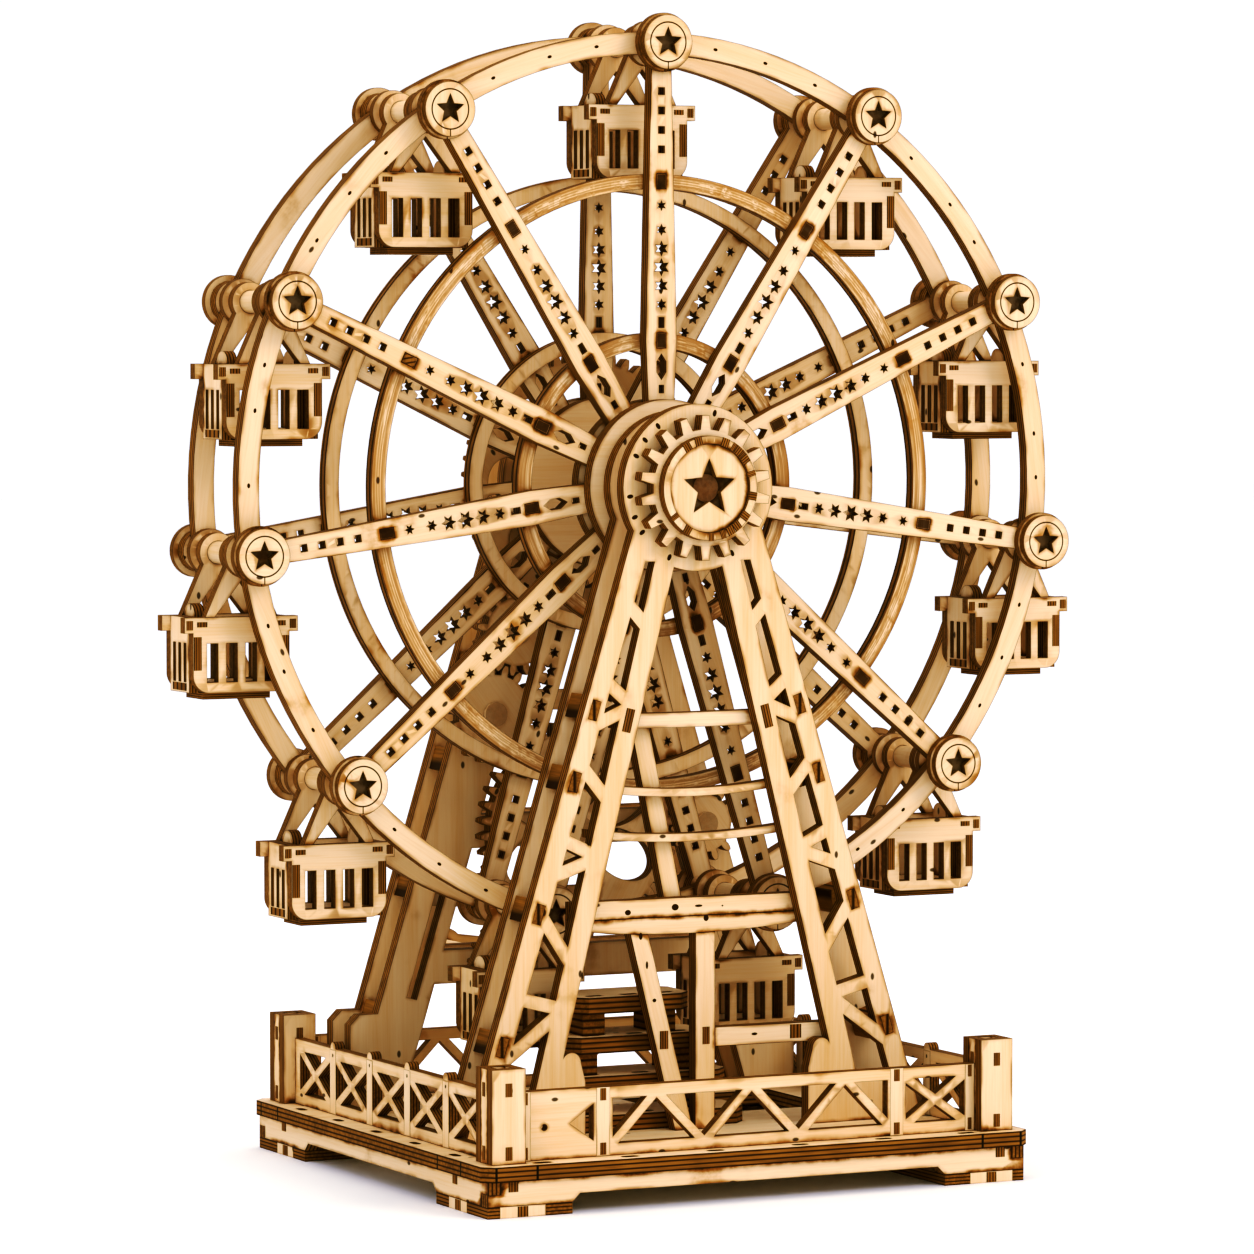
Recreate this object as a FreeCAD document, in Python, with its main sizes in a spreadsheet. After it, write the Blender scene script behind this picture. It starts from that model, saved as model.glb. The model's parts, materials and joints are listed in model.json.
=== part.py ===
import FreeCAD, Part
import Sketcher
import math
import os

# Crank ferris wheel toy, a plywood kit. X runs along the front, +Y to the back and +Z up.
# The wheel turns about a Y axis. Millimetres throughout.

os.makedirs("parts", exist_ok=True)
doc = FreeCAD.newDocument("ferris_wheel")
Vector = FreeCAD.Vector
Rotation = FreeCAD.Rotation
Placement = FreeCAD.Placement

sheet = doc.addObject("Spreadsheet::Sheet", "Sizes")


class Size:
    """A length that knows its value and the spreadsheet expression that gives it."""

    def __init__(self, text, value):
        self.text = text
        self.value = float(value)

    def join(self, sign, other, value, swap=False):
        mine, theirs = self.text, text_of(other)
        if swap:
            mine, theirs = theirs, mine
        return Size(f"({mine} {sign} {theirs})", value)

    def __add__(self, other):
        return self.join("+", other, self.value + float(other))

    def __sub__(self, other):
        return self.join("-", other, self.value - float(other))

    def __mul__(self, other):
        return self.join("*", other, self.value * float(other))

    def __truediv__(self, other):
        return self.join("/", other, self.value / float(other))

    def __radd__(self, other):
        return self.join("+", other, float(other) + self.value, swap=True)

    def __rsub__(self, other):
        return self.join("-", other, float(other) - self.value, swap=True)

    def __rmul__(self, other):
        return self.join("*", other, float(other) * self.value, swap=True)

    def __neg__(self):
        return Size(f"(-1 * {self.text})", -self.value)

    def __float__(self):
        return self.value


def text_of(number):
    if isinstance(number, Size):
        return number.text
    return f"({float(number):.6f})"


def dimension(alias, value, note):
    """Adds one driving dimension to the spreadsheet."""
    dimension.row += 1
    sheet.set(f"A{dimension.row}", note)
    sheet.set(f"B{dimension.row}", str(value))
    sheet.setAlias(f"B{dimension.row}", alias)
    return Size(f"Sizes.{alias}", value)


dimension.row = 0

# ---- sheets and clearances
ply = dimension("ply", 4.0, "plywood of the frames and the wheel")
thin_ply = dimension("thin_ply", 3.0, "plywood of the fences, towers and cabins")
veneer = dimension("veneer", 2.2, "thin plywood of the round trims")
running_gap = dimension("running_gap", 0.08, "radial clearance of a turning fit")
glue_gap = dimension("glue_gap", 0.02, "radial clearance of a glued fit")
side_gap = dimension("side_gap", 2.4, "air between the wheel and the frames")
washer = dimension("washer", 1.5, "spacer washer beside a gear")
shim = dimension("shim", 0.5, "shim between the gear washers and the rear frame")
head_gap = dimension("head_gap", 0.32, "end play of a gear between its head and its collar")

# ---- stand
deck_length = dimension("deck_length", 174.0, "deck along X")
deck_depth = dimension("deck_depth", 164.0, "deck along Y")
deck_ply = dimension("deck_ply", 4.3, "deck plate")
deck_corner = dimension("deck_corner", 3.0, "chamfer of the deck corners")
deck_offset = dimension("deck_offset", 5.0, "wheel plane behind the middle of the deck")
opening_length = dimension("opening_length", 50.0, "each deck opening along X")
opening_depth = dimension("opening_depth", 40.0, "each deck opening along Y")
opening_inset = dimension("opening_inset", 12.0, "deck left between an opening and the middle")
opening_back = dimension("opening_back", 8.0, "openings behind the wheel plane")
peep_width = dimension("peep_width", 5.0, "small oval holes along the deck edge")
peep_height = dimension("peep_height", 2.2, "small oval holes across the deck edge")
peep_inset = dimension("peep_inset", 3.9, "oval holes from the deck edge")
peep_pitch = dimension("peep_pitch", 27.0, "from one oval hole to the next")
peep_count = dimension("peep_count", 6, "oval holes along the front and the back")
side_peep_count = dimension("side_peep_count", 5, "oval holes along each side")
skirt_tall = dimension("skirt_tall", 7.0, "skirt board height")
skirt_inset = dimension("skirt_inset", 1.6, "skirt back from the deck edge")
arch_rise = dimension("arch_rise", 2.4, "skirt arch between the feet")
foot_length = dimension("foot_length", 26.0, "foot along X")
foot_depth = dimension("foot_depth", 34.0, "foot along Y")
pad_ply = dimension("pad_ply", 3.2, "foot pad thickness")
tower_side = dimension("tower_side", 10.4, "corner tower across")
tower_tall = dimension("tower_tall", 26.5, "corner tower height")
tower_inset = dimension("tower_inset", 4.0, "corner tower from the deck edge")
fence_tall = dimension("fence_tall", 19.5, "fence height")
fence_rail = dimension("fence_rail", 3.4, "fence rail width")
fence_brace = dimension("fence_brace", 2.6, "fence brace width")
fence_post = dimension("fence_post", 4.4, "upright bar of a side fence")
fence_peg = dimension("fence_peg", 0.9, "radius of the peg hole in the front fence's gusset")
fence_bay = dimension("fence_bay", 24.0, "crossed end bay of the front fence")
fence_bays = dimension("fence_bays", 5, "crossed bays of a side fence")
fence_peaks = dimension("fence_peaks", 3, "zigzag peaks of the front fence")
fence_knob = dimension("fence_knob", 1.9, "radius of the round tabs on the side fences")

# ---- wheel
axle_height = dimension("axle_height", 200.0, "wheel axle above the ground")
wheel_radius = dimension("wheel_radius", 128.0, "from the wheel axle to a cabin dowel")
spoke_count = dimension("spoke_count", 11, "spokes of each ring, and cabins")
ring_gap = dimension("ring_gap", 29.0, "between the two rings")
rim_width = dimension("rim_width", 6.4, "rim band")
spoke_root = dimension("spoke_root", 15.5, "radius where the spokes begin")
spoke_root_width = dimension("spoke_root_width", 7.6, "spoke width at the hub")
spoke_wide = dimension("spoke_wide", 10.0, "largest spoke width")
spoke_wide_at = dimension("spoke_wide_at", 42.0, "radius of the largest spoke width")
spoke_tip_width = dimension("spoke_tip_width", 6.2, "spoke width at the rim")
spoke_eye = dimension("spoke_eye", 6.0, "radius of the spoke eye")
spoke_mortise = dimension("spoke_mortise", 3.0, "mortise for a hoop's tenon, across the spoke")
square_first = dimension("square_first", 14.0, "first square dot of a spoke from the rim")
square_last = dimension("square_last", 9.2, "last square dot of a spoke outside the large hoop")
star_first = dimension("star_first", 14.0, "first large star dot inside the large hoop")
star_last = dimension("star_last", 10.4, "last star dot outside the small hoop")
spoke_lozenge = dimension("spoke_lozenge", 3.8, "half the length of the lozenge inside the small hoop")
pin_width = dimension("pin_width", 1.8, "small slot of a spoke, across")
pin_tall = dimension("pin_tall", 3.0, "small slot of a spoke, along")
hub_radius = dimension("hub_radius", 25.0, "hub disc")
axle_radius = dimension("axle_radius", 4.0, "wheel axle")
hoop_radius = dimension("hoop_radius", 88.0, "large hoop, middle of its band")
hoop_width = dimension("hoop_width", 4.4, "hoop band")
small_hoop_radius = dimension("small_hoop_radius", 42.0, "small hoop, middle of its band")
dowel_radius = dimension("dowel_radius", 3.2, "cabin dowel")
backing_radius = dimension("backing_radius", 8.5, "backing disc behind a star disc")
star_disc_radius = dimension("star_disc_radius", 7.8, "star disc")
star_radius = dimension("star_radius", 4.4, "star cut in a disc")
collar_radius = dimension("collar_radius", 6.6, "plain disc on a cabin dowel")
hub_teeth = dimension("hub_teeth", 18, "teeth of the hub gear")
hub_tip_radius = dimension("hub_tip_radius", 20.8, "hub gear over the teeth")
hub_tooth = dimension("hub_tooth", 4.0, "hub gear tooth height")
cap_radius = dimension("cap_radius", 15.0, "cap ring outside")
cap_rim = dimension("cap_rim", 2.3, "cap ring width")
cap_star_radius = dimension("cap_star_radius", 8.4, "star cut in the cap")
retainer_radius = dimension("retainer_radius", 8.0, "disc that holds the wheel axle at the back")
hub_washer_radius = dimension("hub_washer_radius", 16.0, "disc between the hub and the wheel gear")

# ---- cabins
cabin_length = dimension("cabin_length", 29.5, "cabin body along X")
cabin_depth = dimension("cabin_depth", 20.0, "cabin body along Y")
cabin_drop = dimension("cabin_drop", 17.6, "from the dowel down to the cabin rim")
cabin_tall = dimension("cabin_tall", 21.4, "cabin panel height")
cabin_tab = dimension("cabin_tab", 2.6, "rim tabs past the cabin ends")
cabin_band = dimension("cabin_band", 4.4, "rim band height")
cabin_corner = dimension("cabin_corner", 5.0, "rounded lower corner")
slot_width = dimension("slot_width", 3.4, "front slot")
slot_tall = dimension("slot_tall", 11.0, "front slot height")
slot_pitch = dimension("slot_pitch", 5.9, "from one front slot to the next")
end_slot_width = dimension("end_slot_width", 1.9, "end slot")
end_slot_pitch = dimension("end_slot_pitch", 3.9, "from one end slot to the next")
hanger_eye = dimension("hanger_eye", 5.6, "radius of a hanger eye")
hanger_leg = dimension("hanger_leg", 3.0, "hanger leg width")
hanger_foot = dimension("hanger_foot", 9.6, "hanger foot from the middle")
step_board = dimension("step_board", 2.0, "board under the cabin floor")
seat_tall = dimension("seat_tall", 22.0, "seat back height")
seat_width = dimension("seat_width", 8.0, "seat back width")
seat_round = dimension("seat_round", 3.6, "rounded head of a seat back")

# ---- A-frames
frame_spacer = dimension("frame_spacer", 9.0, "air between the two plates of a frame")
frame_setback = dimension("frame_setback", 13.0, "outer edge of a leg at the deck, in from the deck's end")
frame_head = dimension("frame_head", 17.0, "outer edge of a leg at the axle height")
truss_foot = dimension("truss_foot", 25.0, "width of a truss leg at the deck")
truss_head = dimension("truss_head", 15.0, "width of a truss leg at the axle height")
truss_rail = dimension("truss_rail", 6.6, "truss rail width")
truss_brace = dimension("truss_brace", 4.0, "truss brace width")
mortise_width = dimension("mortise_width", 2.6, "mortise in a truss rail, across")
mortise_tall = dimension("mortise_tall", 5.6, "mortise in a truss rail, along")
plain_leg = dimension("plain_leg", 12.0, "plain leg width of the front frame")
rear_leg = dimension("rear_leg", 16.0, "plain leg width of the rear frame")
frame_boss = dimension("frame_boss", 24.0, "round head of a frame plate")
frame_neck = dimension("frame_neck", 21.0, "top of the truss openings below the axle")
beam_height = dimension("beam_height", 76.5, "cross beam above the ground")
beam_tall = dimension("beam_tall", 5.4, "cross beam height")
bow_tall = dimension("bow_tall", 5.0, "curved board under the cross beam")
bow_rise = dimension("bow_rise", 2.2, "bow of that board")
post_width = dimension("post_width", 6.4, "king post")
post_shift = dimension("post_shift", 4.4, "king post to the right of the middle")
brace_width = dimension("brace_width", 5.6, "slanted brace")
brace_head = dimension("brace_head", 18.0, "brace from the middle at the beam")
brace_foot = dimension("brace_foot", 2.4, "brace from the middle at the deck")
low_rail_height = dimension("low_rail_height", 38.2, "low rail above the ground")
low_rail_tall = dimension("low_rail_tall", 5.6, "low rail height")
spacer_side = dimension("spacer_side", 7.0, "spacer block across")
foot_block = dimension("foot_block", 9.0, "foot block height")
gusset_tall = dimension("gusset_tall", 25.0, "foot gusset of a front leg above the deck")
gusset_round = dimension("gusset_round", 3.0, "rounded head of a foot gusset")
gusset_reach = dimension("gusset_reach", 13.0, "foot gusset along the deck")
bracket_tall = dimension("bracket_tall", 29.0, "foot bracket of a rear leg above the deck")
bracket_corner = dimension("bracket_corner", 3.0, "cut corner of a foot bracket")
bar_tall = dimension("bar_tall", 4.6, "bowed bar above the cross beam")
low_bar_rise = dimension("low_bar_rise", 21.5, "lower bowed bar above the cross beam")
high_bar_rise = dimension("high_bar_rise", 34.5, "upper bowed bar above the cross beam")
top_bar_rise = dimension("top_bar_rise", 54.5, "nearly straight bar above the cross beam")
top_bar_bow = dimension("top_bar_bow", 0.3, "bow of that bar")
plank_width = dimension("plank_width", 5.6, "leaning plank behind the bars")
plank_foot = dimension("plank_foot", 3.0, "leaning plank from the middle, at its foot")
plank_head = dimension("plank_head", 15.6, "leaning plank from the middle, at its head")

# ---- boarding stair
stair_levels = dimension("stair_levels", 4, "plates of the boarding stair")
stair_plate = dimension("stair_plate", 4.8, "stair plate thickness")
stair_spacer = dimension("stair_spacer", 6.6, "spacer between the stair plates")
stair_left = dimension("stair_left", 41.0, "left end of the lowest plate from the middle")
stair_right = dimension("stair_right", 22.0, "right end of the lowest plate from the middle")
stair_step_left = dimension("stair_step_left", 2.4, "how far each plate steps in at the left")
stair_step_right = dimension("stair_step_right", 6.0, "how far each plate steps in at the right")
stair_depth = dimension("stair_depth", 21.0, "stair along Y")
stair_chamfer = dimension("stair_chamfer", 4.0, "chamfer of the plate corners")

# ---- gears
gear_module = dimension("gear_module", 1.5, "module of the driving gears")
gear_boss = dimension("gear_boss", 2.2, "gear boss left round a spindle head")
gear_band = dimension("gear_band", 2.6, "gear rim left inside the teeth")
gear_spoke = dimension("gear_spoke", 3.4, "gear spoke between two windows")
wheel_gear_band = dimension("wheel_gear_band", 4.0, "wheel gear rim left inside the teeth")
wheel_gear_spoke = dimension("wheel_gear_spoke", 5.0, "wheel gear spoke between two windows")
wheel_gear_windows = dimension("wheel_gear_windows", 8, "windows of the wheel gear")
small_gear_windows = dimension("small_gear_windows", 4, "windows of a small gear")
large_gear_windows = dimension("large_gear_windows", 6, "windows of the main gear")
backlash = dimension("backlash", 0.5, "play between meshed teeth")
wheel_teeth = dimension("wheel_teeth", 50, "wheel gear")
idler_teeth = dimension("idler_teeth", 16, "upper idler")
middle_teeth = dimension("middle_teeth", 18, "middle gear")
main_teeth = dimension("main_teeth", 42, "main gear")
counter_teeth = dimension("counter_teeth", 14, "small counter gear")
crank_teeth = dimension("crank_teeth", 18, "crank gear")
idler_angle = dimension("idler_angle", 243.5, "direction from the wheel axle to the idler")
middle_angle = dimension("middle_angle", 252.5, "direction from the idler to the middle gear")
main_angle = dimension("main_angle", 308.8, "direction from the middle gear to the main gear")
counter_angle = dimension("counter_angle", 0.0, "direction from the main gear to the counter gear")
crank_angle = dimension("crank_angle", 242.5, "direction from the main gear to the crank gear")
spindle_radius = dimension("spindle_radius", 2.0, "gear spindle")
spindle_head = dimension("spindle_head", 3.6, "gear spindle head")
head_ply = dimension("head_ply", 1.1, "gear spindle head thickness")
leg_slot_width = dimension("leg_slot_width", 3.2, "long slot of a rear leg")
leg_slot_in = dimension("leg_slot_in", 9.8, "middle of that slot from the leg's outer edge")
leg_slot_low = dimension("leg_slot_low", 33.0, "lower end of that slot above the deck")
leg_slot_high = dimension("leg_slot_high", 70.0, "upper end of that slot above the deck")
cross_rail_tall = dimension("cross_rail_tall", 10.0, "cross rail of the rear frame")
rear_bar_tall = dimension("rear_bar_tall", 8.0, "bowed board between the rear plates")
crank_shaft_radius = dimension("crank_shaft_radius", 3.0, "crank shaft")
crank_reach = dimension("crank_reach", 28.0, "crank arm from shaft to knob")
crank_eye = dimension("crank_eye", 6.4, "round end of the crank arm")
crank_web = dimension("crank_web", 9.6, "crank arm width between its round ends")
crank_clear = dimension("crank_clear", 3.0, "crank arm behind the deck edge")
crank_rest = dimension("crank_rest", 8.0, "crank arm below level at rest, degrees")
knob_radius = dimension("knob_radius", 4.8, "crank knob")
knob_length = dimension("knob_length", 19.0, "crank knob length")
knob_round = dimension("knob_round", 1.8, "rounded end of the knob")

doc.recompute()

# ---- places that follow from the sizes (Y is measured from the wheel plane)
deck_top = pad_ply + skirt_tall + deck_ply
deck_front = -(deck_depth / 2) - deck_offset
deck_back = deck_depth / 2 - deck_offset
rim_in = ring_gap / 2
spoke_in = rim_in + ply
spoke_out = spoke_in + ply
hub_out = spoke_out + ply
disc_out = spoke_out + veneer + veneer
frame_in = hub_out + side_gap
frame_mid = frame_in + ply
frame_far = frame_mid + frame_spacer
frame_out = frame_far + ply
gear_in = hub_out + washer
gear_out = gear_in + ply
rear_in = gear_out + washer + shim
rear_mid = rear_in + ply
rear_far = rear_mid + frame_spacer
rear_out = rear_far + ply
hub_gear_in = frame_out + washer / 2
hub_gear_out = hub_gear_in + ply
arm_in = deck_back + crank_clear
arm_out = arm_in + ply
knob_end = arm_out + knob_length
# The part's origin is under the middle of its bounding box, crank knob included.
origin_y = (deck_front + knob_end) / 2
frame_foot = deck_length / 2 - frame_setback
spokes = int(float(spoke_count))


# ---- small tools
def bind(thing, prop, size):
    """Binds a property to the spreadsheet, or sets a plain number."""
    if isinstance(size, Size):
        thing.setExpression(prop, size.text)
    else:
        setattr(thing, prop, size)


def put(thing, x=0.0, y=0.0, z=0.0, axis=(0, 1, 0), angle=0.0):
    """Places an object. Lengths that come from the spreadsheet stay bound to it."""
    spin = Rotation(Vector(*axis), float(angle))
    thing.Placement = Placement(Vector(float(x), float(y), float(z)), spin)
    for letter, size in (("x", x), ("y", y), ("z", z)):
        if isinstance(size, Size):
            thing.setExpression(f"Placement.Base.{letter}", size.text)
    return thing


def block(name, length, depth, height, x=0.0, y=0.0, z=0.0):
    thing = doc.addObject("Part::Box", name)
    bind(thing, "Length", length)
    bind(thing, "Width", depth)
    bind(thing, "Height", height)
    return put(thing, x, y, z)


def rod(name, radius, y_from, y_to, x=0.0, z=0.0):
    """A cylinder along +Y."""
    thing = doc.addObject("Part::Cylinder", name)
    bind(thing, "Radius", radius)
    bind(thing, "Height", y_to - y_from)
    return put(thing, x, y_from, z, axis=(1, 0, 0), angle=-90)


def cut(name, base, tool):
    thing = doc.addObject("Part::Cut", name)
    thing.Base = base
    thing.Tool = tool
    return thing


def fuse(name, pieces):
    thing = doc.addObject("Part::MultiFuse", name)
    thing.Shapes = pieces
    return thing


def group(name, pieces):
    """Separate solids that share one node."""
    thing = doc.addObject("Part::Compound", name)
    thing.Links = pieces
    return thing


def washer_disc(name, radius, bore, y_from, y_to):
    """A round plate with a bore, along +Y."""
    blank = rod(f"{name}_blank", radius, y_from, y_to)
    hole = rod(f"{name}_hole", bore, y_from - 1.0, y_to + 1.0)
    return cut(name, blank, hole)


def made(name, shape):
    """A sub-part whose outline neither sketches nor primitives suit."""
    thing = doc.addObject("Part::Feature", name)
    # The compound keeps a shape that was turned or moved where it is.
    thing.Shape = shape if shape.Placement.isIdentity() else Part.makeCompound([shape])
    thing.Placement = Placement()
    return thing


nodes = []


def node(thing, label, on_wheel=False):
    """Names a finished sub-part and moves it from the wheel plane to the part's own frame."""
    here = thing.Placement
    lift = axle_height if on_wheel else 0.0
    thing.Label = label
    put_y = here.Base.y - origin_y
    put_z = here.Base.z + lift
    thing.Placement = Placement(Vector(here.Base.x, float(put_y), float(put_z)), here.Rotation)
    thing.setExpression("Placement.Base.y", put_y.text)
    if on_wheel:
        thing.setExpression("Placement.Base.z", put_z.text)
    nodes.append(thing)
    return thing


def seat_at(name, piece, x, z):
    """The same piece again, carried to another place in the wheel plane."""
    return put(group(name, [piece]), x, 0.0, z)


def turned(name, piece, angle):
    """The same piece again, turned about the wheel axle, clockwise from the front."""
    return put(group(name, [piece]), axis=(0, 1, 0), angle=angle)


def spoke_angle(index):
    return 360.0 * index / spokes


def rim_point(index, radius=wheel_radius):
    angle = math.radians(spoke_angle(index))
    return radius * math.sin(angle), radius * math.cos(angle)


# ---- sketches: each point is held by a distance to the sketch's origin that the spreadsheet drives
def plane_of(body, role):
    for feature in body.Origin.OriginFeatures:
        if feature.Role == role:
            return feature
    raise ValueError(role)


def new_body(name):
    body = doc.addObject("PartDesign::Body", name)
    body.AllowCompound = True
    return body


def new_sketch(body, name, role, lift=0.0):
    sketch = body.newObject("Sketcher::SketchObject", name)
    sketch.AttachmentSupport = [(plane_of(body, role), "")]
    sketch.MapMode = "FlatFace"
    if isinstance(lift, Size):
        sketch.setExpression("AttachmentOffset.Base.z", lift.text)
    return sketch


def hold(sketch, geometry, end, point):
    """Fixes one point of a sketch at two lengths from the origin."""
    kinds = ("DistanceX", "DistanceY")
    axes = (-2, -1)
    for kind, axis, size in zip(kinds, axes, point):
        if not isinstance(size, Size) and float(size) == 0.0:
            sketch.addConstraint(Sketcher.Constraint("PointOnObject", geometry, end, axis))
            continue
        rule = Sketcher.Constraint(kind, -1, 1, geometry, end, float(size))
        index = sketch.addConstraint(rule)
        if isinstance(size, Size):
            sketch.setExpression(f"Constraints[{index}]", size.text)


def loop(sketch, corners):
    """A closed outline of straight lines."""
    first = sketch.GeometryCount
    total = len(corners)
    spots = [Vector(float(x), float(y), 0) for x, y in corners]
    for index in range(total):
        sketch.addGeometry(Part.LineSegment(spots[index], spots[(index + 1) % total]), False)
    for index in range(total):
        after = first + (index + 1) % total
        sketch.addConstraint(Sketcher.Constraint("Coincident", first + index, 2, after, 1))
    for index, corner in enumerate(corners):
        hold(sketch, first + index, 1, corner)


def circle(sketch, radius, centre=(0.0, 0.0)):
    spot = Vector(float(centre[0]), float(centre[1]), 0)
    index = sketch.addGeometry(Part.Circle(spot, Vector(0, 0, 1), float(radius)), False)
    rule = sketch.addConstraint(Sketcher.Constraint("Radius", index, float(radius)))
    sketch.setExpression(f"Constraints[{rule}]", radius.text)
    if centre == (0.0, 0.0):
        sketch.addConstraint(Sketcher.Constraint("Coincident", index, 3, -1, 1))
    else:
        hold(sketch, index, 3, centre)


def slot(sketch, x, y, width, tall):
    """An upright slot with round ends."""
    half = width / 2
    top = y + tall / 2 - half
    low = y - tall / 2 + half
    x_value, half_value = float(x), float(half)
    upper = Vector(x_value, float(top), 0)
    lower = Vector(x_value, float(low), 0)
    up = Vector(0, 0, 1)
    side = Vector(half_value, 0, 0)
    arc_top = sketch.addGeometry(Part.ArcOfCircle(Part.Circle(upper, up, half_value), 0, math.pi), False)
    left = sketch.addGeometry(Part.LineSegment(upper - side, lower - side), False)
    low_arc = Part.ArcOfCircle(Part.Circle(lower, up, half_value), math.pi, 2 * math.pi)
    arc_low = sketch.addGeometry(low_arc, False)
    right = sketch.addGeometry(Part.LineSegment(lower + side, upper + side), False)
    for one, end, two, start in ((arc_top, 2, left, 1), (left, 2, arc_low, 1),
                                 (arc_low, 2, right, 1), (right, 2, arc_top, 1)):
        sketch.addConstraint(Sketcher.Constraint("Tangent", one, end, two, start))
    rule = sketch.addConstraint(Sketcher.Constraint("Radius", arc_top, half_value))
    sketch.setExpression(f"Constraints[{rule}]", half.text)
    hold(sketch, arc_top, 3, (x, top))
    hold(sketch, arc_low, 3, (x, low))


def window(sketch, x, y, width, tall):
    """An upright opening with square ends."""
    left, right, low, top = x - width / 2, x + width / 2, y - tall / 2, y + tall / 2
    loop(sketch, [(left, low), (right, low), (right, top), (left, top)])


def pad(body, sketch, length, name):
    feature = body.newObject("PartDesign::Pad", name)
    feature.Profile = sketch
    bind(feature, "Length", length)
    return feature


def pocket_through(body, sketch, name, away=False):
    """Cuts a sketch right through, and makes sure that it did cut."""
    doc.recompute()
    before = body.Shape.Volume
    feature = body.newObject("PartDesign::Pocket", name)
    feature.Profile = sketch
    feature.Type = "ThroughAll"
    feature.Reversed = away
    doc.recompute()
    if body.Shape.Volume > before - 1e-6:
        raise RuntimeError(f"{name} cuts nothing")
    return feature


# ---- flat outlines for the sub-parts with truss work, teeth or ornament (X and Z, in the wheel plane)
def plate(points, y_from, y_to):
    """A flat plate from a closed outline of X and Z pairs."""
    spots = [Vector(x, float(y_from), z) for x, z in points]
    face = Part.Face(Part.makePolygon(spots + [spots[0]]))
    return face.extrude(Vector(0, float(y_to) - float(y_from), 0))


def disc(radius, y_from, y_to, x=0.0, z=0.0):
    length = float(y_to) - float(y_from)
    return Part.makeCylinder(float(radius), length, Vector(float(x), float(y_from), float(z)), Vector(0, 1, 0))


def star_points(radius, points=5, x=0.0, z=0.0, waist=0.45):
    outline = []
    for index in range(2 * points):
        reach = radius if index % 2 == 0 else radius * waist
        angle = math.pi * index / points
        outline.append((x + reach * math.sin(angle), z + reach * math.cos(angle)))
    return outline


def box_points(x, z, width, tall, lean=0.0):
    """A rectangle about a point, leaning clockwise by an angle in radians."""
    outline = []
    for side, rise in ((-1, -1), (1, -1), (1, 1), (-1, 1)):
        across, along = side * width / 2, rise * tall / 2
        turned_x = across * math.cos(lean) + along * math.sin(lean)
        turned_z = along * math.cos(lean) - across * math.sin(lean)
        outline.append((x + turned_x, z + turned_z))
    return outline


def strip_points(start, end, width):
    """A straight bar between two points."""
    length = math.dist(start, end)
    across = (width / 2 * (end[1] - start[1]) / length, width / 2 * (start[0] - end[0]) / length)
    return [(start[0] - across[0], start[1] - across[1]), (start[0] + across[0], start[1] + across[1]),
            (end[0] + across[0], end[1] + across[1]), (end[0] - across[0], end[1] - across[1])]


# A triangle closes up where its inscribed circle is not this many times its inset.
SMALLEST_WINDOW = 1.15


def inset_triangle(corners, inset):
    """A triangle with each side moved in, or nothing where it would close up."""
    sides = [math.dist(corners[1], corners[2]), math.dist(corners[2], corners[0]),
             math.dist(corners[0], corners[1])]
    around = sum(sides)
    centre = [sum(side * corner[axis] for side, corner in zip(sides, corners)) / around for axis in (0, 1)]
    (ax, az), (bx, bz), (cx, cz) = corners
    area = abs((bx - ax) * (cz - az) - (cx - ax) * (bz - az)) / 2
    inner = 2 * area / around
    if inner <= inset * SMALLEST_WINDOW:
        return None
    share = 1 - inset / inner
    return [(centre[0] + share * (x - centre[0]), centre[1] + share * (z - centre[1])) for x, z in corners]


def pierced(shape, windows, y_from, y_to):
    """Cuts windows right through a plate."""
    tools = [plate(window, float(y_from) - 1, float(y_to) + 1) for window in windows if window]
    return shape.cut(Part.makeCompound(tools)) if tools else shape


# ---- the stand
def build_deck():
    body = new_body("deck_body")
    sketch = new_sketch(body, "deck_outline", "XY_Plane", lift=pad_ply + skirt_tall)
    half = deck_length / 2
    left, right = -half, half
    corner = deck_corner
    outline = [(left + corner, deck_front), (right - corner, deck_front), (right, deck_front + corner),
               (right, deck_back - corner), (right - corner, deck_back), (left + corner, deck_back),
               (left, deck_back - corner), (left, deck_front + corner)]
    loop(sketch, outline)
    for sign in (-1, 1):
        near = opening_inset * sign
        far = (opening_inset + opening_length) * sign
        low = opening_back - opening_depth / 2
        high = opening_back + opening_depth / 2
        loop(sketch, [(near, low), (far, low), (far, high), (near, high)])
    pad(body, sketch, deck_ply, "deck_plate")
    run = peep_pitch * (float(peep_count) - 1)
    holes = new_sketch(body, "deck_peepholes", "XY_Plane", lift=pad_ply + skirt_tall)
    for y_place in (deck_front + peep_inset, deck_back - peep_inset):
        peep(holes, -run / 2, y_place)
    first = pocket_through(body, holes, "deck_peeps", away=True)
    peep_row(body, "deck_peep_rows", first, "X_Axis", run, peep_count)
    side_run = peep_pitch * (float(side_peep_count) - 1)
    side_holes = new_sketch(body, "deck_side_peepholes", "XY_Plane", lift=pad_ply + skirt_tall)
    for x_place in (left + peep_inset, right - peep_inset):
        slot(side_holes, x_place, -deck_offset - side_run / 2, peep_height, peep_width)
    first = pocket_through(body, side_holes, "deck_side_peeps", away=True)
    peep_row(body, "deck_side_peep_rows", first, "Y_Axis", side_run, side_peep_count)
    node(body, "deck")


def peep_row(body, name, first, axis, run, count):
    """Repeats the first oval holes along an axis."""
    row = body.newObject("PartDesign::LinearPattern", name)
    row.Originals = [first]
    row.Direction = (plane_of(body, axis), [""])
    row.setExpression("Length", run.text)
    row.setExpression("Occurrences", count.text)
    body.Tip = row


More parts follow.
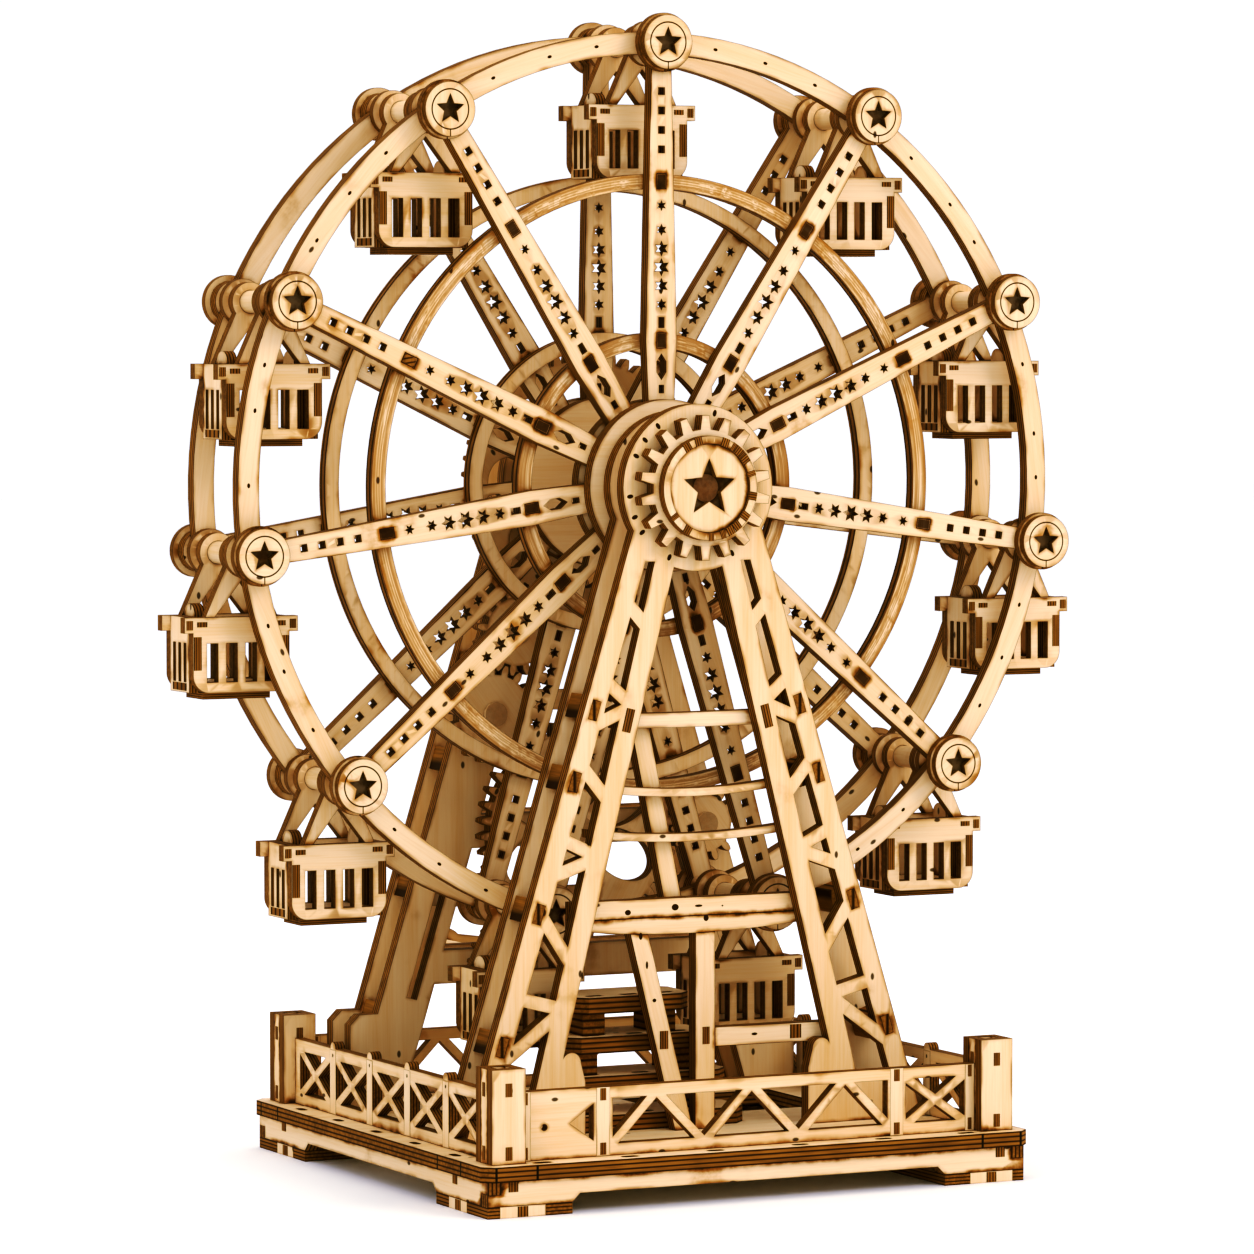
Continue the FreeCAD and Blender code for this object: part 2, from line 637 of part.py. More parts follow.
def peep(sketch, x, y):
    """A small oval hole that lies along X."""
    half = peep_height / 2
    reach = peep_width / 2 - half
    up = Vector(0, 0, 1)
    left_spot = Vector(float(x - reach), float(y), 0)
    right_spot = Vector(float(x + reach), float(y), 0)
    rise = Vector(0, float(half), 0)
    circle_left = Part.Circle(left_spot, up, float(half))
    circle_right = Part.Circle(right_spot, up, float(half))
    left = sketch.addGeometry(Part.ArcOfCircle(circle_left, math.pi / 2, 3 * math.pi / 2), False)
    low = sketch.addGeometry(Part.LineSegment(left_spot - rise, right_spot - rise), False)
    right = sketch.addGeometry(Part.ArcOfCircle(circle_right, -math.pi / 2, math.pi / 2), False)
    top = sketch.addGeometry(Part.LineSegment(right_spot + rise, left_spot + rise), False)
    for one, end, two, start in ((left, 2, low, 1), (low, 2, right, 1), (right, 2, top, 1), (top, 2, left, 1)):
        sketch.addConstraint(Sketcher.Constraint("Tangent", one, end, two, start))
    rule = sketch.addConstraint(Sketcher.Constraint("Radius", left, float(half)))
    sketch.setExpression(f"Constraints[{rule}]", half.text)
    hold(sketch, left, 3, (x - reach, y))
    hold(sketch, right, 3, (x + reach, y))


def build_skirt(label, reach, foot_reach, full_low, plane, lift, turn_out):
    """A skirt board: finger joints at the ends and a shallow arch between the feet."""
    body = new_body(f"{label}_body")
    sketch = new_sketch(body, f"{label}_outline", plane, lift=lift)
    low = pad_ply
    middle = pad_ply + skirt_tall / 2
    top = pad_ply + skirt_tall
    arch = pad_ply + arch_rise
    wide, narrow = reach, reach - ply
    low_end, high_end = (wide, narrow) if full_low else (narrow, wide)
    foot = wide - foot_reach
    toe = foot - arch_rise
    centre = turn_out
    right = [(centre + toe, arch), (centre + foot, low), (centre + low_end, low), (centre + low_end, middle),
             (centre + high_end, middle), (centre + high_end, top)]
    left = [(centre - high_end, top), (centre - high_end, middle), (centre - low_end, middle),
            (centre - low_end, low), (centre - foot, low), (centre - toe, arch)]
    loop(sketch, right + left)
    feature = pad(body, sketch, ply, f"{label}_board")
    return body, feature


def build_skirts():
    reach_x = deck_length / 2 - skirt_inset
    reach_y = deck_depth / 2 - skirt_inset
    front = -(deck_front + skirt_inset)
    back = -(deck_back - skirt_inset)
    for label, lift, reverse in (("skirt_front", front, True), ("skirt_back", back, False)):
        body, feature = build_skirt(label, reach_x, foot_length, True, "XZ_Plane", lift, 0.0)
        feature.Reversed = reverse
        node(body, label)
    for label, lift, reverse in (("skirt_left", -reach_x, False), ("skirt_right", reach_x, True)):
        body, feature = build_skirt(label, reach_y, foot_depth, False, "YZ_Plane", lift, -deck_offset)
        feature.Reversed = reverse
        node(body, label)


def build_foot_pads():
    pads = []
    for name, x in (("left", skirt_inset - deck_length / 2), ("right", deck_length / 2 - skirt_inset - foot_length)):
        for end, y in (("front", deck_front + skirt_inset), ("back", deck_back - skirt_inset - foot_depth)):
            pads.append(block(f"foot_pad_{end}_{name}", foot_length, foot_depth, pad_ply, x, y, 0.0))
    node(group("foot_pad_set", pads), "foot_pads")


def tower_place(sign_x, sign_y):
    """Low corner of a corner tower."""
    inner = tower_inset + tower_side
    x = deck_length / 2 - inner if sign_x > 0 else tower_inset - deck_length / 2
    y = deck_back - inner if sign_y > 0 else deck_front + tower_inset
    return x, y


def build_towers():
    """Each corner tower is a square tube of four boards."""
    between = tower_side - thin_ply * 2
    for end, sign_y in (("front", -1), ("back", 1)):
        for side, sign_x in (("left", -1), ("right", 1)):
            x, y = tower_place(sign_x, sign_y)
            label = f"tower_{end}_{side}"
            walls = [
                block(f"{label}_near", tower_side, thin_ply, tower_tall, x, y, deck_top),
                block(f"{label}_far", tower_side, thin_ply, tower_tall, x, y + tower_side - thin_ply, deck_top),
                block(f"{label}_west", thin_ply, between, tower_tall, x, y + thin_ply, deck_top),
                block(f"{label}_east", thin_ply, between, tower_tall, x + tower_side - thin_ply,
                      y + thin_ply, deck_top),
            ]
            node(group(f"{label}_walls", walls), label)


def fence_frame(length):
    """Outline of a fence, from the deck up, with its middle at X = 0."""
    half, tall = length / 2, float(fence_tall)
    low = float(deck_top)
    return [(-half, low), (half, low), (half, low + tall), (-half, low + tall)]


def crossed_bay(left, right, low, high):
    """The four windows that leave an X of braces in a bay."""
    middle = ((left + right) / 2, (low + high) / 2)
    corners = [(left, low), (right, low), (right, high), (left, high)]
    windows = []
    for index in range(4):
        windows.append(inset_triangle([corners[index], corners[(index + 1) % 4], middle], float(fence_brace) / 2))
    return windows


def zigzag_bay(left, right, low, high, peaks):
    """Windows that leave a zigzag of braces, starting low at both ends."""
    steps = 2 * peaks
    zigzag = [(left + (right - left) * index / steps, high if index % 2 else low) for index in range(steps + 1)]
    windows = [inset_triangle([(left, low), zigzag[1], (left, high)], float(fence_brace) / 2)]
    for index in range(steps - 1):
        windows.append(inset_triangle(zigzag[index:index + 3], float(fence_brace) / 2))
    windows.append(inset_triangle([(right, low), zigzag[-2], (right, high)], float(fence_brace) / 2))
    return windows


# The window of a crossed bay that its gusset leaves open, and the gusset's peg hole as shares of the bay.
INNER_WINDOW = 1
PEG_SHARES = (0.31, 0.46)


def build_long_fence(label, y_near, peaks, gusset=False):
    """Front or back fence: a zigzag between two crossed end bays. A gusset fills a bay but for its inner window."""
    length = float(deck_length - (tower_inset + tower_side) * 2)
    half, rail, brace = length / 2, float(fence_rail), float(fence_brace) / 2
    low = float(deck_top) + rail - brace
    high = float(deck_top + fence_tall) - rail + brace
    bay = float(fence_bay)
    y_far = float(y_near + thin_ply)
    shape = plate(fence_frame(length), y_near, y_far)
    windows = crossed_bay(-half + rail - brace, -half + bay, low, high)
    if gusset:
        windows = [windows[INNER_WINDOW]]
    windows += crossed_bay(half - bay, half - rail + brace, low, high)
    windows += zigzag_bay(-half + bay + rail, half - bay - rail, low, high, peaks)
    shape = pierced(shape, windows, y_near, y_far)
    if gusset:
        along, up = PEG_SHARES
        shape = shape.cut(disc(fence_peg, float(y_near) - 1, y_far + 1, -half + bay * along, low + (high - low) * up))
    node(made(f"{label}_plate", shape), label)


def build_side_fence(label, x_near):
    """Left or right fence: crossed bays between upright bars with round tabs on top."""
    length = float(deck_depth - (tower_inset + tower_side) * 2)
    half, rail, brace = length / 2, float(fence_rail), float(fence_brace) / 2
    post = (float(fence_post) - float(fence_brace)) / 2
    low = float(deck_top) + rail - brace
    top = float(deck_top + fence_tall)
    bays = int(float(fence_bays))
    pitch = (length - rail) / bays
    shape = plate(fence_frame(length), 0.0, thin_ply)
    windows = []
    for index in range(bays):
        left = -half + rail / 2 + pitch * index
        windows += crossed_bay(left + post, left + pitch - post, low, top - rail + brace)
        if index:
            shape = shape.fuse(disc(fence_knob, 0.0, thin_ply, left, top))
    shape = pierced(shape, windows, 0.0, thin_ply).removeSplitter()
    # Turn the plate so that its length runs along Y.
    shape.rotate(Vector(0, 0, 0), Vector(0, 0, 1), 90)
    shape.translate(Vector(float(x_near + thin_ply), -float(deck_offset), 0))
    node(made(f"{label}_plate", shape), label)


def build_fences():
    fence_in = (tower_side - thin_ply) / 2
    y_front = deck_front + tower_inset + fence_in
    y_back = deck_back - tower_inset - fence_in - thin_ply
    build_long_fence("fence_front", y_front, int(float(fence_peaks)), gusset=True)
    build_long_fence("fence_back", y_back, int(float(fence_peaks)))
    x_left = tower_inset + fence_in - deck_length / 2
    build_side_fence("fence_left", x_left)
    build_side_fence("fence_right", -x_left - thin_ply)


# Oval holes along a stair plate, as shares of its length from its middle.
STAIR_PEEPS = (-0.3, 0.0, 0.3)


def build_stair():
    """Boarding stair beside the cabins' path: chamfered plates that step in as they rise."""
    levels = int(float(stair_levels))
    pitch = stair_plate + stair_spacer
    back = rim_in * -1.0
    front = back - stair_depth
    pieces = []
    for level in range(levels):
        left = stair_step_left * level - stair_left
        right = stair_right - stair_step_right * level
        bottom = deck_top + pitch * level
        body = new_body(f"stair_plate_{level + 1}")
        sketch = new_sketch(body, f"stair_outline_{level + 1}", "XY_Plane", lift=bottom)
        nip = stair_chamfer
        loop(sketch, [(left + nip, front), (right - nip, front), (right, front + nip), (right, back - nip),
                      (right - nip, back), (left + nip, back), (left, back - nip), (left, front + nip)])
        pad(body, sketch, stair_plate, f"stair_pad_{level + 1}")
        holes = new_sketch(body, f"stair_holes_{level + 1}", "XY_Plane", lift=bottom)
        middle = (left + right) / 2
        for share in STAIR_PEEPS:
            peep(holes, middle + (right - left) * share, front + peep_height * 2)
        pocket_through(body, holes, f"stair_peeps_{level + 1}", away=True)
        pieces.append(body)
        if level:
            for place, x in (("left", left + nip), ("right", right - nip - spacer_side)):
                name = f"stair_spacer_{level}_{place}"
                pieces.append(block(name, spacer_side, stair_depth - nip * 2, stair_spacer,
                                    x, front + nip, bottom - stair_spacer))
    node(group("stair_pieces", pieces), "boarding_stair")


# ---- the two A-frames
def leg_outer(z):
    """Outer edge of a leg at a height."""
    foot, head = float(frame_foot), float(frame_head)
    rise = (z - float(deck_top)) / float(axle_height - deck_top)
    return foot + (head - foot) * rise


def leg_width(z, foot, head):
    rise = (z - float(deck_top)) / float(axle_height - deck_top)
    return float(foot) + (float(head) - float(foot)) * rise


def leg_points(sign, foot, head, z_top):
    low = float(deck_top)
    return [(sign * leg_outer(low), low), (sign * leg_outer(z_top), z_top),
            (sign * (leg_outer(z_top) - leg_width(z_top, foot, head)), z_top),
            (sign * (leg_outer(low) - leg_width(low, foot, head)), low)]


def frame_shape(y_from, y_to, foot, head, boss, bore):
    """Two legs that meet in a round head."""
    z_top = float(axle_height)
    pieces = [plate(leg_points(sign, foot, head, z_top), y_from, y_to) for sign in (-1, 1)]
    pieces.append(disc(boss, y_from, y_to, 0.0, axle_height))
    shape = pieces[0].multiFuse(pieces[1:]).removeSplitter()
    return shape.cut(disc(bore, float(y_from) - 1, float(y_to) + 1, 0.0, axle_height))


def brace_run(sign, outer_z, inner_z):
    """A brace of one leg, from its outer rail to its inner rail."""
    rail = float(truss_rail) / 2
    outer = leg_outer(outer_z) - rail
    inner = leg_outer(inner_z) - leg_width(inner_z, truss_foot, truss_head) + rail
    return strip_points((sign * outer, outer_z), (sign * inner, inner_z), float(truss_brace))


def truss_opening(sign, y_from, y_to):
    """What is cut out of one truss leg: the inside of its rails, less the braces."""
    rail = float(truss_rail)
    low, high = float(deck_top + gusset_tall / 2), float(axle_height - frame_neck)
    corners = []
    for z, side in ((low, 0), (high, 0), (high, 1), (low, 1)):
        outer = leg_outer(z) - rail
        inner = leg_outer(z) - leg_width(z, truss_foot, truss_head) + rail
        corners.append((sign * (inner if side else outer), z))
    inside = plate(corners, y_from, y_to)
    span = high - low
    runs = []
    for outer_share, inner_share in BRACE_SHARES:
        points = brace_run(sign, low + span * outer_share, low + span * inner_share)
        runs.append(plate(points, y_from, y_to))
    return inside.cut(Part.makeCompound(runs))


# Braces up a truss leg: the share of the way up at the outer rail and at the inner rail.
BRACE_SHARES = ((0.062, 0.164), (0.19, 0.164), (0.349, 0.24), (0.411, 0.447), (0.487, 0.447),
                (0.625, 0.546), (0.691, 0.729), (0.783, 0.729), (0.93, 0.87))
# Spacer blocks up a leg, as shares of the way from the foot block to the round head.
FRONT_SPACERS = (0.12, 0.36, 0.6, 0.73)
REAR_SPACERS = (0.12, 0.36, 0.6, 0.78)


def mortise_spots(sign, fit=0.0):
    """Slots in the outer truss rail where the tenons of the spacer blocks come through."""
    slots = []
    for z in spacer_heights(FRONT_SPACERS):
        x = leg_outer(z) - float(truss_rail) / 2
        slots.append(box_points(sign * x, z, float(mortise_width) - fit, float(mortise_tall) - fit,
                                -sign * leg_lean()))
    return slots


def foot_gusset(sign, y_from, y_to):
    """Rounded gusset at the inner side of a front leg, on the deck."""
    low, high = float(deck_top), float(deck_top + gusset_tall - gusset_round)
    turn = float(gusset_round)

    def inner(z):
        return leg_outer(z) - leg_width(z, truss_foot, truss_head)
    inset = float(truss_rail) / 2
    toe = inner(low) - float(gusset_reach)
    corners = [(inner(low) + inset, low), (inner(high) + inset, high), (inner(high) - turn * 2, high),
               (toe, float(deck_top + fence_tall) - turn), (toe, low)]
    body = plate([(sign * x, z) for x, z in corners], y_from, y_to)
    return [body, disc(turn, y_from, y_to, sign * (inner(high) - turn), high)]


def leg_lean():
    return math.atan2(float(frame_foot - frame_head), float(axle_height - deck_top))


def spacer_heights(shares):
    low, high = float(deck_top + foot_block), float(axle_height - frame_neck)
    return [low + (high - low) * share for share in shares]


def build_front_frame():
    bore = axle_radius + running_gap
    outer = frame_shape(-frame_out, -frame_far, truss_foot, truss_head, frame_boss, bore)
    openings = [truss_opening(sign, -frame_out - 1, -frame_far + 1) for sign in (-1, 1)]
    outer = outer.cut(Part.makeCompound(openings))
    gussets = foot_gusset(-1, -frame_out, -frame_far) + foot_gusset(1, -frame_out, -frame_far)
    outer = outer.multiFuse(gussets).removeSplitter()
    outer = pierced(outer, mortise_spots(-1) + mortise_spots(1), -frame_out, -frame_far)
    node(made("front_truss", outer), "front_frame_outer")
    inner = frame_shape(-frame_mid, -frame_in, plain_leg, plain_leg, frame_boss - veneer, bore)
    node(made("front_plain", inner), "front_frame_inner")
    build_spacers("front_frame_spacers", FRONT_SPACERS, -frame_far, -frame_mid, tenon_end=-frame_out)


def build_spacers(label, shares, y_from, y_to, tenon_end=None):
    """Blocks between the two plates of a frame, and foot blocks at the deck."""
    pieces = []
    side = float(spacer_side)
    for sign in (-1, 1):
        tenons = mortise_spots(sign, fit=2 * float(glue_gap))
        for z, tenon in zip(spacer_heights(shares), tenons):
            x = sign * (leg_outer(z) - float(truss_rail) / 2 - float(mortise_width) / 2)
            spacer = plate(box_points(x, z, side, side, -sign * leg_lean()), y_from, y_to)
            if tenon_end is not None:
                spacer = spacer.fuse(plate(tenon, tenon_end, y_from)).removeSplitter()
            pieces.append(spacer)
        low = float(deck_top)
        high = low + float(foot_block)
        foot = [(leg_outer(low), low), (leg_outer(high), high),
                (leg_outer(high) - float(plain_leg) / 2, high), (leg_outer(low) - float(plain_leg), low)]
        pieces.append(plate([(sign * x, z) for x, z in foot], y_from, y_to))
    node(made(f"{label}_blocks", Part.makeCompound(pieces)), label)


def bar_reach(z):
    """How far a bar runs from the middle to stay behind the inner truss rails."""
    return leg_outer(z) - leg_width(z, truss_foot, truss_head) + float(truss_rail)


def bowed_board(reach, low, tall, bow, y_from, y_to):
    """A board across the frame whose edges sag to the middle."""
    near = float(y_from)
    ends = [Vector(-reach, near, low + bow), Vector(reach, near, low + bow)]
    tops = [Vector(-reach, near, low + tall), Vector(reach, near, low + tall)]
    under = Part.Arc(ends[0], Vector(0, near, low), ends[1]).toShape()
    over = Part.Arc(tops[0], Vector(0, near, low + tall - bow), tops[1]).toShape()
    sides = [Part.LineSegment(ends[1], tops[1]).toShape(), Part.LineSegment(tops[0], ends[0]).toShape()]
    face = Part.Face(Part.Wire([under, sides[0], over, sides[1]]))
    return face.extrude(Vector(0, float(y_to) - near, 0))


def build_cross_beam():
    """Cross beam with a curved board under it, bars above it, and a plank that leans behind them."""
    near, far = -frame_far, -frame_far + ply
    low, tall = float(beam_height), float(beam_tall)
    reach = bar_reach(low + tall)
    pieces = [plate([(-reach, low), (reach, low), (reach, low + tall), (-reach, low + tall)], near, far)]
    for rise, bow in ((low_bar_rise, bow_rise), (high_bar_rise, bow_rise), (top_bar_rise, top_bar_bow)):
        bottom = low + float(rise)
        pieces.append(bowed_board(bar_reach(bottom + float(bar_tall)), bottom, float(bar_tall), float(bow), near, far))
    head = low + float(top_bar_rise + bar_tall)
    plank = strip_points((-float(plank_foot), low), (-float(plank_head), head), float(plank_width))
    pieces.append(plate(plank, far, far + ply))
    node(made("cross_beam_boards", Part.makeCompound(pieces)), "cross_beam")
    build_king_post(reach, near, far)


def build_king_post(reach, near, far):
    """Curved board under the beam, king post, slanted brace and low rail, just behind the truss plate."""
    low, deck = float(beam_height), float(deck_top)
    sag, shift = float(bow_rise), float(post_shift)
    bow_low = low - float(bow_tall)
    bow = bowed_board(reach, bow_low, float(bow_tall), sag, near, far)
    bow = bow.fuse(plate([(-reach, low - sag), (reach, low - sag), (reach, low), (-reach, low)], near, far))
    bow = bow.removeSplitter()
    left, right = shift - float(post_width) / 2, shift + float(post_width) / 2
    post = plate([(left, deck), (right, deck), (right, low), (left, low)], near, far).cut(bow)
    lean = strip_points((-float(brace_head), low), (-float(brace_foot), deck), float(brace_width))
    space = plate([(-reach, deck), (reach, deck), (reach, low), (-reach, low)], near, far).cut(bow)
    brace = plate(lean, near, far).common(space)
    rail_low, rail_high = float(low_rail_height), float(low_rail_height + low_rail_tall)
    rail_reach = bar_reach(rail_high)
    rail = plate([(right, rail_low), (rail_reach, rail_low), (rail_reach, rail_high), (right, rail_high)], near, far)
    node(made("king_post_boards", Part.makeCompound([bow, post, brace, rail])), "king_post_braces")


# ---- gears
# Tooth height outside and inside the pitch circle, as shares of the module.
TIP_SHARE, ROOT_SHARE = 0.85, 1.15
# Fewer teeth than this make a small gear, and a window is at most this many times longer than deep.
SMALL_GEAR_TEETH, WINDOW_SHARE = 24, 1.5


def pitch_radius(teeth):
    return gear_module * float(teeth) / 2


def gear_spots():
    """Places of the gear centres in the wheel plane, walked along the train."""
    def step(spot, one, two, angle):
        reach = pitch_radius(one) + pitch_radius(two)
        turn = math.radians(float(angle))
        return spot[0] + reach * math.cos(turn), spot[1] + reach * math.sin(turn)
    spots = {"wheel_gear": (0.0, 0.0)}
    spots["idler_gear"] = step(spots["wheel_gear"], wheel_teeth, idler_teeth, idler_angle)
    spots["middle_gear"] = step(spots["idler_gear"], idler_teeth, middle_teeth, middle_angle)
    spots["main_gear"] = step(spots["middle_gear"], middle_teeth, main_teeth, main_angle)
    spots["counter_gear"] = step(spots["main_gear"], main_teeth, counter_teeth, counter_angle)
    spots["crank_gear"] = step(spots["main_gear"], main_teeth, crank_teeth, crank_angle)
    return spots


def mesh_phase(phase, teeth, other_teeth, angle):
    """Turn of a gear, in degrees, so that its gap meets the tooth of the gear before it."""
    pitch, other_pitch = 360.0 / float(teeth), 360.0 / float(other_teeth)
    ahead = ((float(angle) - phase) / pitch) % 1.0
    return float(angle) + 180.0 - (0.5 - ahead) * other_pitch


def gear_phases():
    phases = {"wheel_gear": 90.0}
    phases["idler_gear"] = mesh_phase(90.0, wheel_teeth, idler_teeth, idler_angle)
    phases["middle_gear"] = mesh_phase(phases["idler_gear"], idler_teeth, middle_teeth, middle_angle)
    phases["main_gear"] = mesh_phase(phases["middle_gear"], middle_teeth, main_teeth, main_angle)
    phases["counter_gear"] = mesh_phase(phases["main_gear"], main_teeth, counter_teeth, counter_angle)
    phases["crank_gear"] = mesh_phase(phases["main_gear"], main_teeth, crank_teeth, crank_angle)
    return phases


def involute(angle):
    return math.tan(angle) - angle


def gear_outline(teeth, phase):
    """Involute teeth as short straight runs, as a laser cuts them from a coarse drawing."""
    count = int(float(teeth))
    size = float(gear_module)
    pitch = size * count / 2
    pressure = math.radians(20)
    base = pitch * math.cos(pressure)
    tip, root = pitch + TIP_SHARE * size, pitch - ROOT_SHARE * size
    half_pitch = math.pi / (2 * count) - float(backlash) / (4 * pitch)
    start = max(base, root)
    profile = []
    for share in (0.0, 0.25, 0.5, 0.75, 1.0):
        radius = start + (tip - start) * share
        lean = half_pitch + involute(pressure) - involute(math.acos(min(1.0, base / radius)))
        profile.append((radius, lean))
    if root < base:
        profile.insert(0, (root, profile[0][1]))
    outline = []
    for index in range(count):
        middle = math.radians(phase) + 2 * math.pi * index / count
        for radius, lean in profile:
            outline.append((radius * math.cos(middle - lean), radius * math.sin(middle - lean)))
        for radius, lean in reversed(profile):
            outline.append((radius * math.cos(middle + lean), radius * math.sin(middle + lean)))
    return outline


def gear_plate(teeth, phase, bore, windows, spot):
    """A gear of one plywood sheet. Windows are (count, radius of their middle, across, along)."""
    shape = plate(gear_outline(teeth, phase), gear_in, gear_out)
    tools = [disc(bore, float(gear_in) - 1, float(gear_out) + 1)]
    count, middle, across, along = windows
    for index in range(count):
        angle = 2 * math.pi * index / count
        hole = Part.Ellipse(Vector(0, float(gear_in) - 1, 0), max(across, along) / 2, min(across, along) / 2)
        edge = hole.toShape()
        edge.rotate(Vector(0, float(gear_in) - 1, 0), Vector(1, 0, 0), -90)
        if along > across:
            edge.rotate(Vector(0, 0, 0), Vector(0, 1, 0), 90)
        tool = Part.Face(Part.Wire([edge])).extrude(Vector(0, float(ply) + 2, 0))
        tool.translate(Vector(0, 0, middle))
        tool.rotate(Vector(0, 0, 0), Vector(0, 1, 0), math.degrees(angle))
        tools.append(tool)
    shape = shape.cut(Part.makeCompound(tools))
    shape.translate(Vector(spot[0], 0, spot[1]))
    return shape


def gear_windows(teeth):
    """Oval windows that leave a rim, a boss and spokes."""
    pitch = float(pitch_radius(teeth))
    boss = float(spindle_head + gear_boss)
    rim = pitch - float(gear_module) * ROOT_SHARE - float(gear_band)
    deep = rim - boss
    if deep < float(gear_spoke):
        return 0, 0.0, 0.0, 0.0
    middle = (rim + boss) / 2
    count = int(float(small_gear_windows if float(teeth) < SMALL_GEAR_TEETH else large_gear_windows))
    wide = min(2 * math.pi * middle / count - float(gear_spoke), deep * WINDOW_SHARE)
    return count, middle, wide, deep


def build_gears():
    spots, phases = gear_spots(), gear_phases()
    spindle_bore = spindle_radius + running_gap
    train = (("idler_gear", idler_teeth), ("middle_gear", middle_teeth), ("main_gear", main_teeth),
             ("counter_gear", counter_teeth))
    for label, teeth in train:
        shape = gear_plate(teeth, phases[label], spindle_bore, gear_windows(teeth), spots[label])
        node(made(f"{label}_plate", shape), label, on_wheel=True)
    shape = gear_plate(crank_teeth, phases["crank_gear"], crank_shaft_radius + glue_gap,
                       gear_windows(crank_teeth), spots["crank_gear"])
    node(made("crank_gear_plate", shape), "crank_gear", on_wheel=True)
    wheel_rim = float(pitch_radius(wheel_teeth)) - float(gear_module) * ROOT_SHARE - float(wheel_gear_band)
    boss = float(hub_washer_radius + gear_boss)
    middle = (wheel_rim + boss) / 2
    count = int(float(wheel_gear_windows))
    windows = (count, middle, 2 * math.pi * middle / count - float(wheel_gear_spoke), wheel_rim - boss)
    shape = gear_plate(wheel_teeth, phases["wheel_gear"], axle_radius + glue_gap, windows, (0.0, 0.0))
    node(made("wheel_gear_plate", shape), "wheel_gear", on_wheel=True)
    return spots


def build_spindles(spots):
    """Fixed pins with heads, which carry the gears and go through both rear plates."""
    pins = []
    for label in ("idler_gear", "middle_gear", "main_gear", "counter_gear"):
        x, z = spots[label]
        head_in = gear_in - head_ply - head_gap
        pin = rod(f"{label}_pin", spindle_radius, head_in, rear_out + head_ply, x, z)
        head = rod(f"{label}_head", spindle_head, head_in, head_in + head_ply, x, z)
        collar_bore = rod(f"{label}_collar_bore", spindle_radius, gear_out, rear_in, x, z)
        collar = rod(f"{label}_collar", spindle_head, gear_out + head_gap, rear_in, x, z)
        pins.append(fuse(f"{label}_spindle", [pin, head, collar, collar_bore]))
    node(group("spindle_set", pins), "gear_spindles", on_wheel=True)


def rear_bores(spots, y_from, y_to):
    """Holes for the spindles and the crank shaft."""
    z_axle = float(axle_height)
    tools = []
    for label in ("idler_gear", "middle_gear", "main_gear", "counter_gear"):
        x, z = spots[label]
        tools.append(disc(spindle_radius + glue_gap, float(y_from) - 1, float(y_to) + 1, x, z + z_axle))
    x, z = spots["crank_gear"]
    tools.append(disc(crank_shaft_radius + running_gap, float(y_from) - 1, float(y_to) + 1, x, z + z_axle))
    return Part.makeCompound(tools)


def build_rear_frame(spots):
    bore = axle_radius + running_gap
    for label, near, far in (("rear_frame_inner", rear_in, rear_mid), ("rear_frame_outer", rear_far, rear_out)):
        shape = frame_shape(near, far, rear_leg, rear_leg, frame_boss, bore)
        rails = [cross_rail(spots[name][1] + float(axle_height), near, far) for name in ("main_gear", "crank_gear")]
        brackets = [foot_bracket(sign, near, far) for sign in (-1, 1)]
        shape = shape.multiFuse(rails + brackets).removeSplitter()
        shape = pierced(shape, [leg_slot(sign) for sign in (-1, 1)], near, far)
        node(made(f"{label}_plate", shape.cut(rear_bores(spots, near, far))), label)
    build_spacers("rear_frame_spacers", REAR_SPACERS, rear_mid, rear_far)
    build_rear_rails(spots)


def leg_slot(sign):
    """The long slot in the lower half of a rear leg."""
    ends = [float(deck_top + rise) for rise in (leg_slot_low, leg_slot_high)]
    low, high = [(sign * (leg_outer(z) - float(leg_slot_in)), z) for z in ends]
    return strip_points(low, high, float(leg_slot_width))


def foot_bracket(sign, y_from, y_to):
    """The foot of a rear leg: square to the deck outside, with a cut corner."""
    low, high = float(deck_top), float(deck_top + bracket_tall)
    foot, nip = float(frame_foot), float(bracket_corner)
    inset = float(rear_leg) / 2
    corners = [(foot, low), (foot, high - nip), (foot - nip, high), (leg_outer(high) - inset, high),
               (foot - inset, low)]
    return plate([(sign * x, z) for x, z in corners], y_from, y_to)


def cross_rail(z_middle, y_from, y_to):
    """A rail that joins the two rear legs at a height."""
    half = float(cross_rail_tall) / 2
    low, high = z_middle - half, z_middle + half
    reach_low = leg_outer(low) - float(rear_leg) / 2
    reach_high = leg_outer(high) - float(rear_leg) / 2
    return plate([(-reach_low, low), (reach_low, low), (reach_high, high), (-reach_high, high)], y_from, y_to)


def build_rear_rails(spots):
    """Two bowed boards between the rear plates, above and below the main gear."""
    pieces = []
    tall = float(rear_bar_tall)
    heights = (spots["middle_gear"][1] + float(axle_height) + tall / 2,
               (spots["main_gear"][1] + spots["crank_gear"][1]) / 2 + float(axle_height))
    near, far = rear_mid, rear_mid + thin_ply
    for z in heights:
        reach = leg_outer(z) - float(rear_leg) + float(truss_rail)
        board = bowed_board(reach, z - tall / 2, tall, tall / 4, near, far)
        pieces.append(board.cut(rear_bores(spots, near, far)))
    node(made("rear_rail_boards", Part.makeCompound(pieces)), "rear_cross_rails")


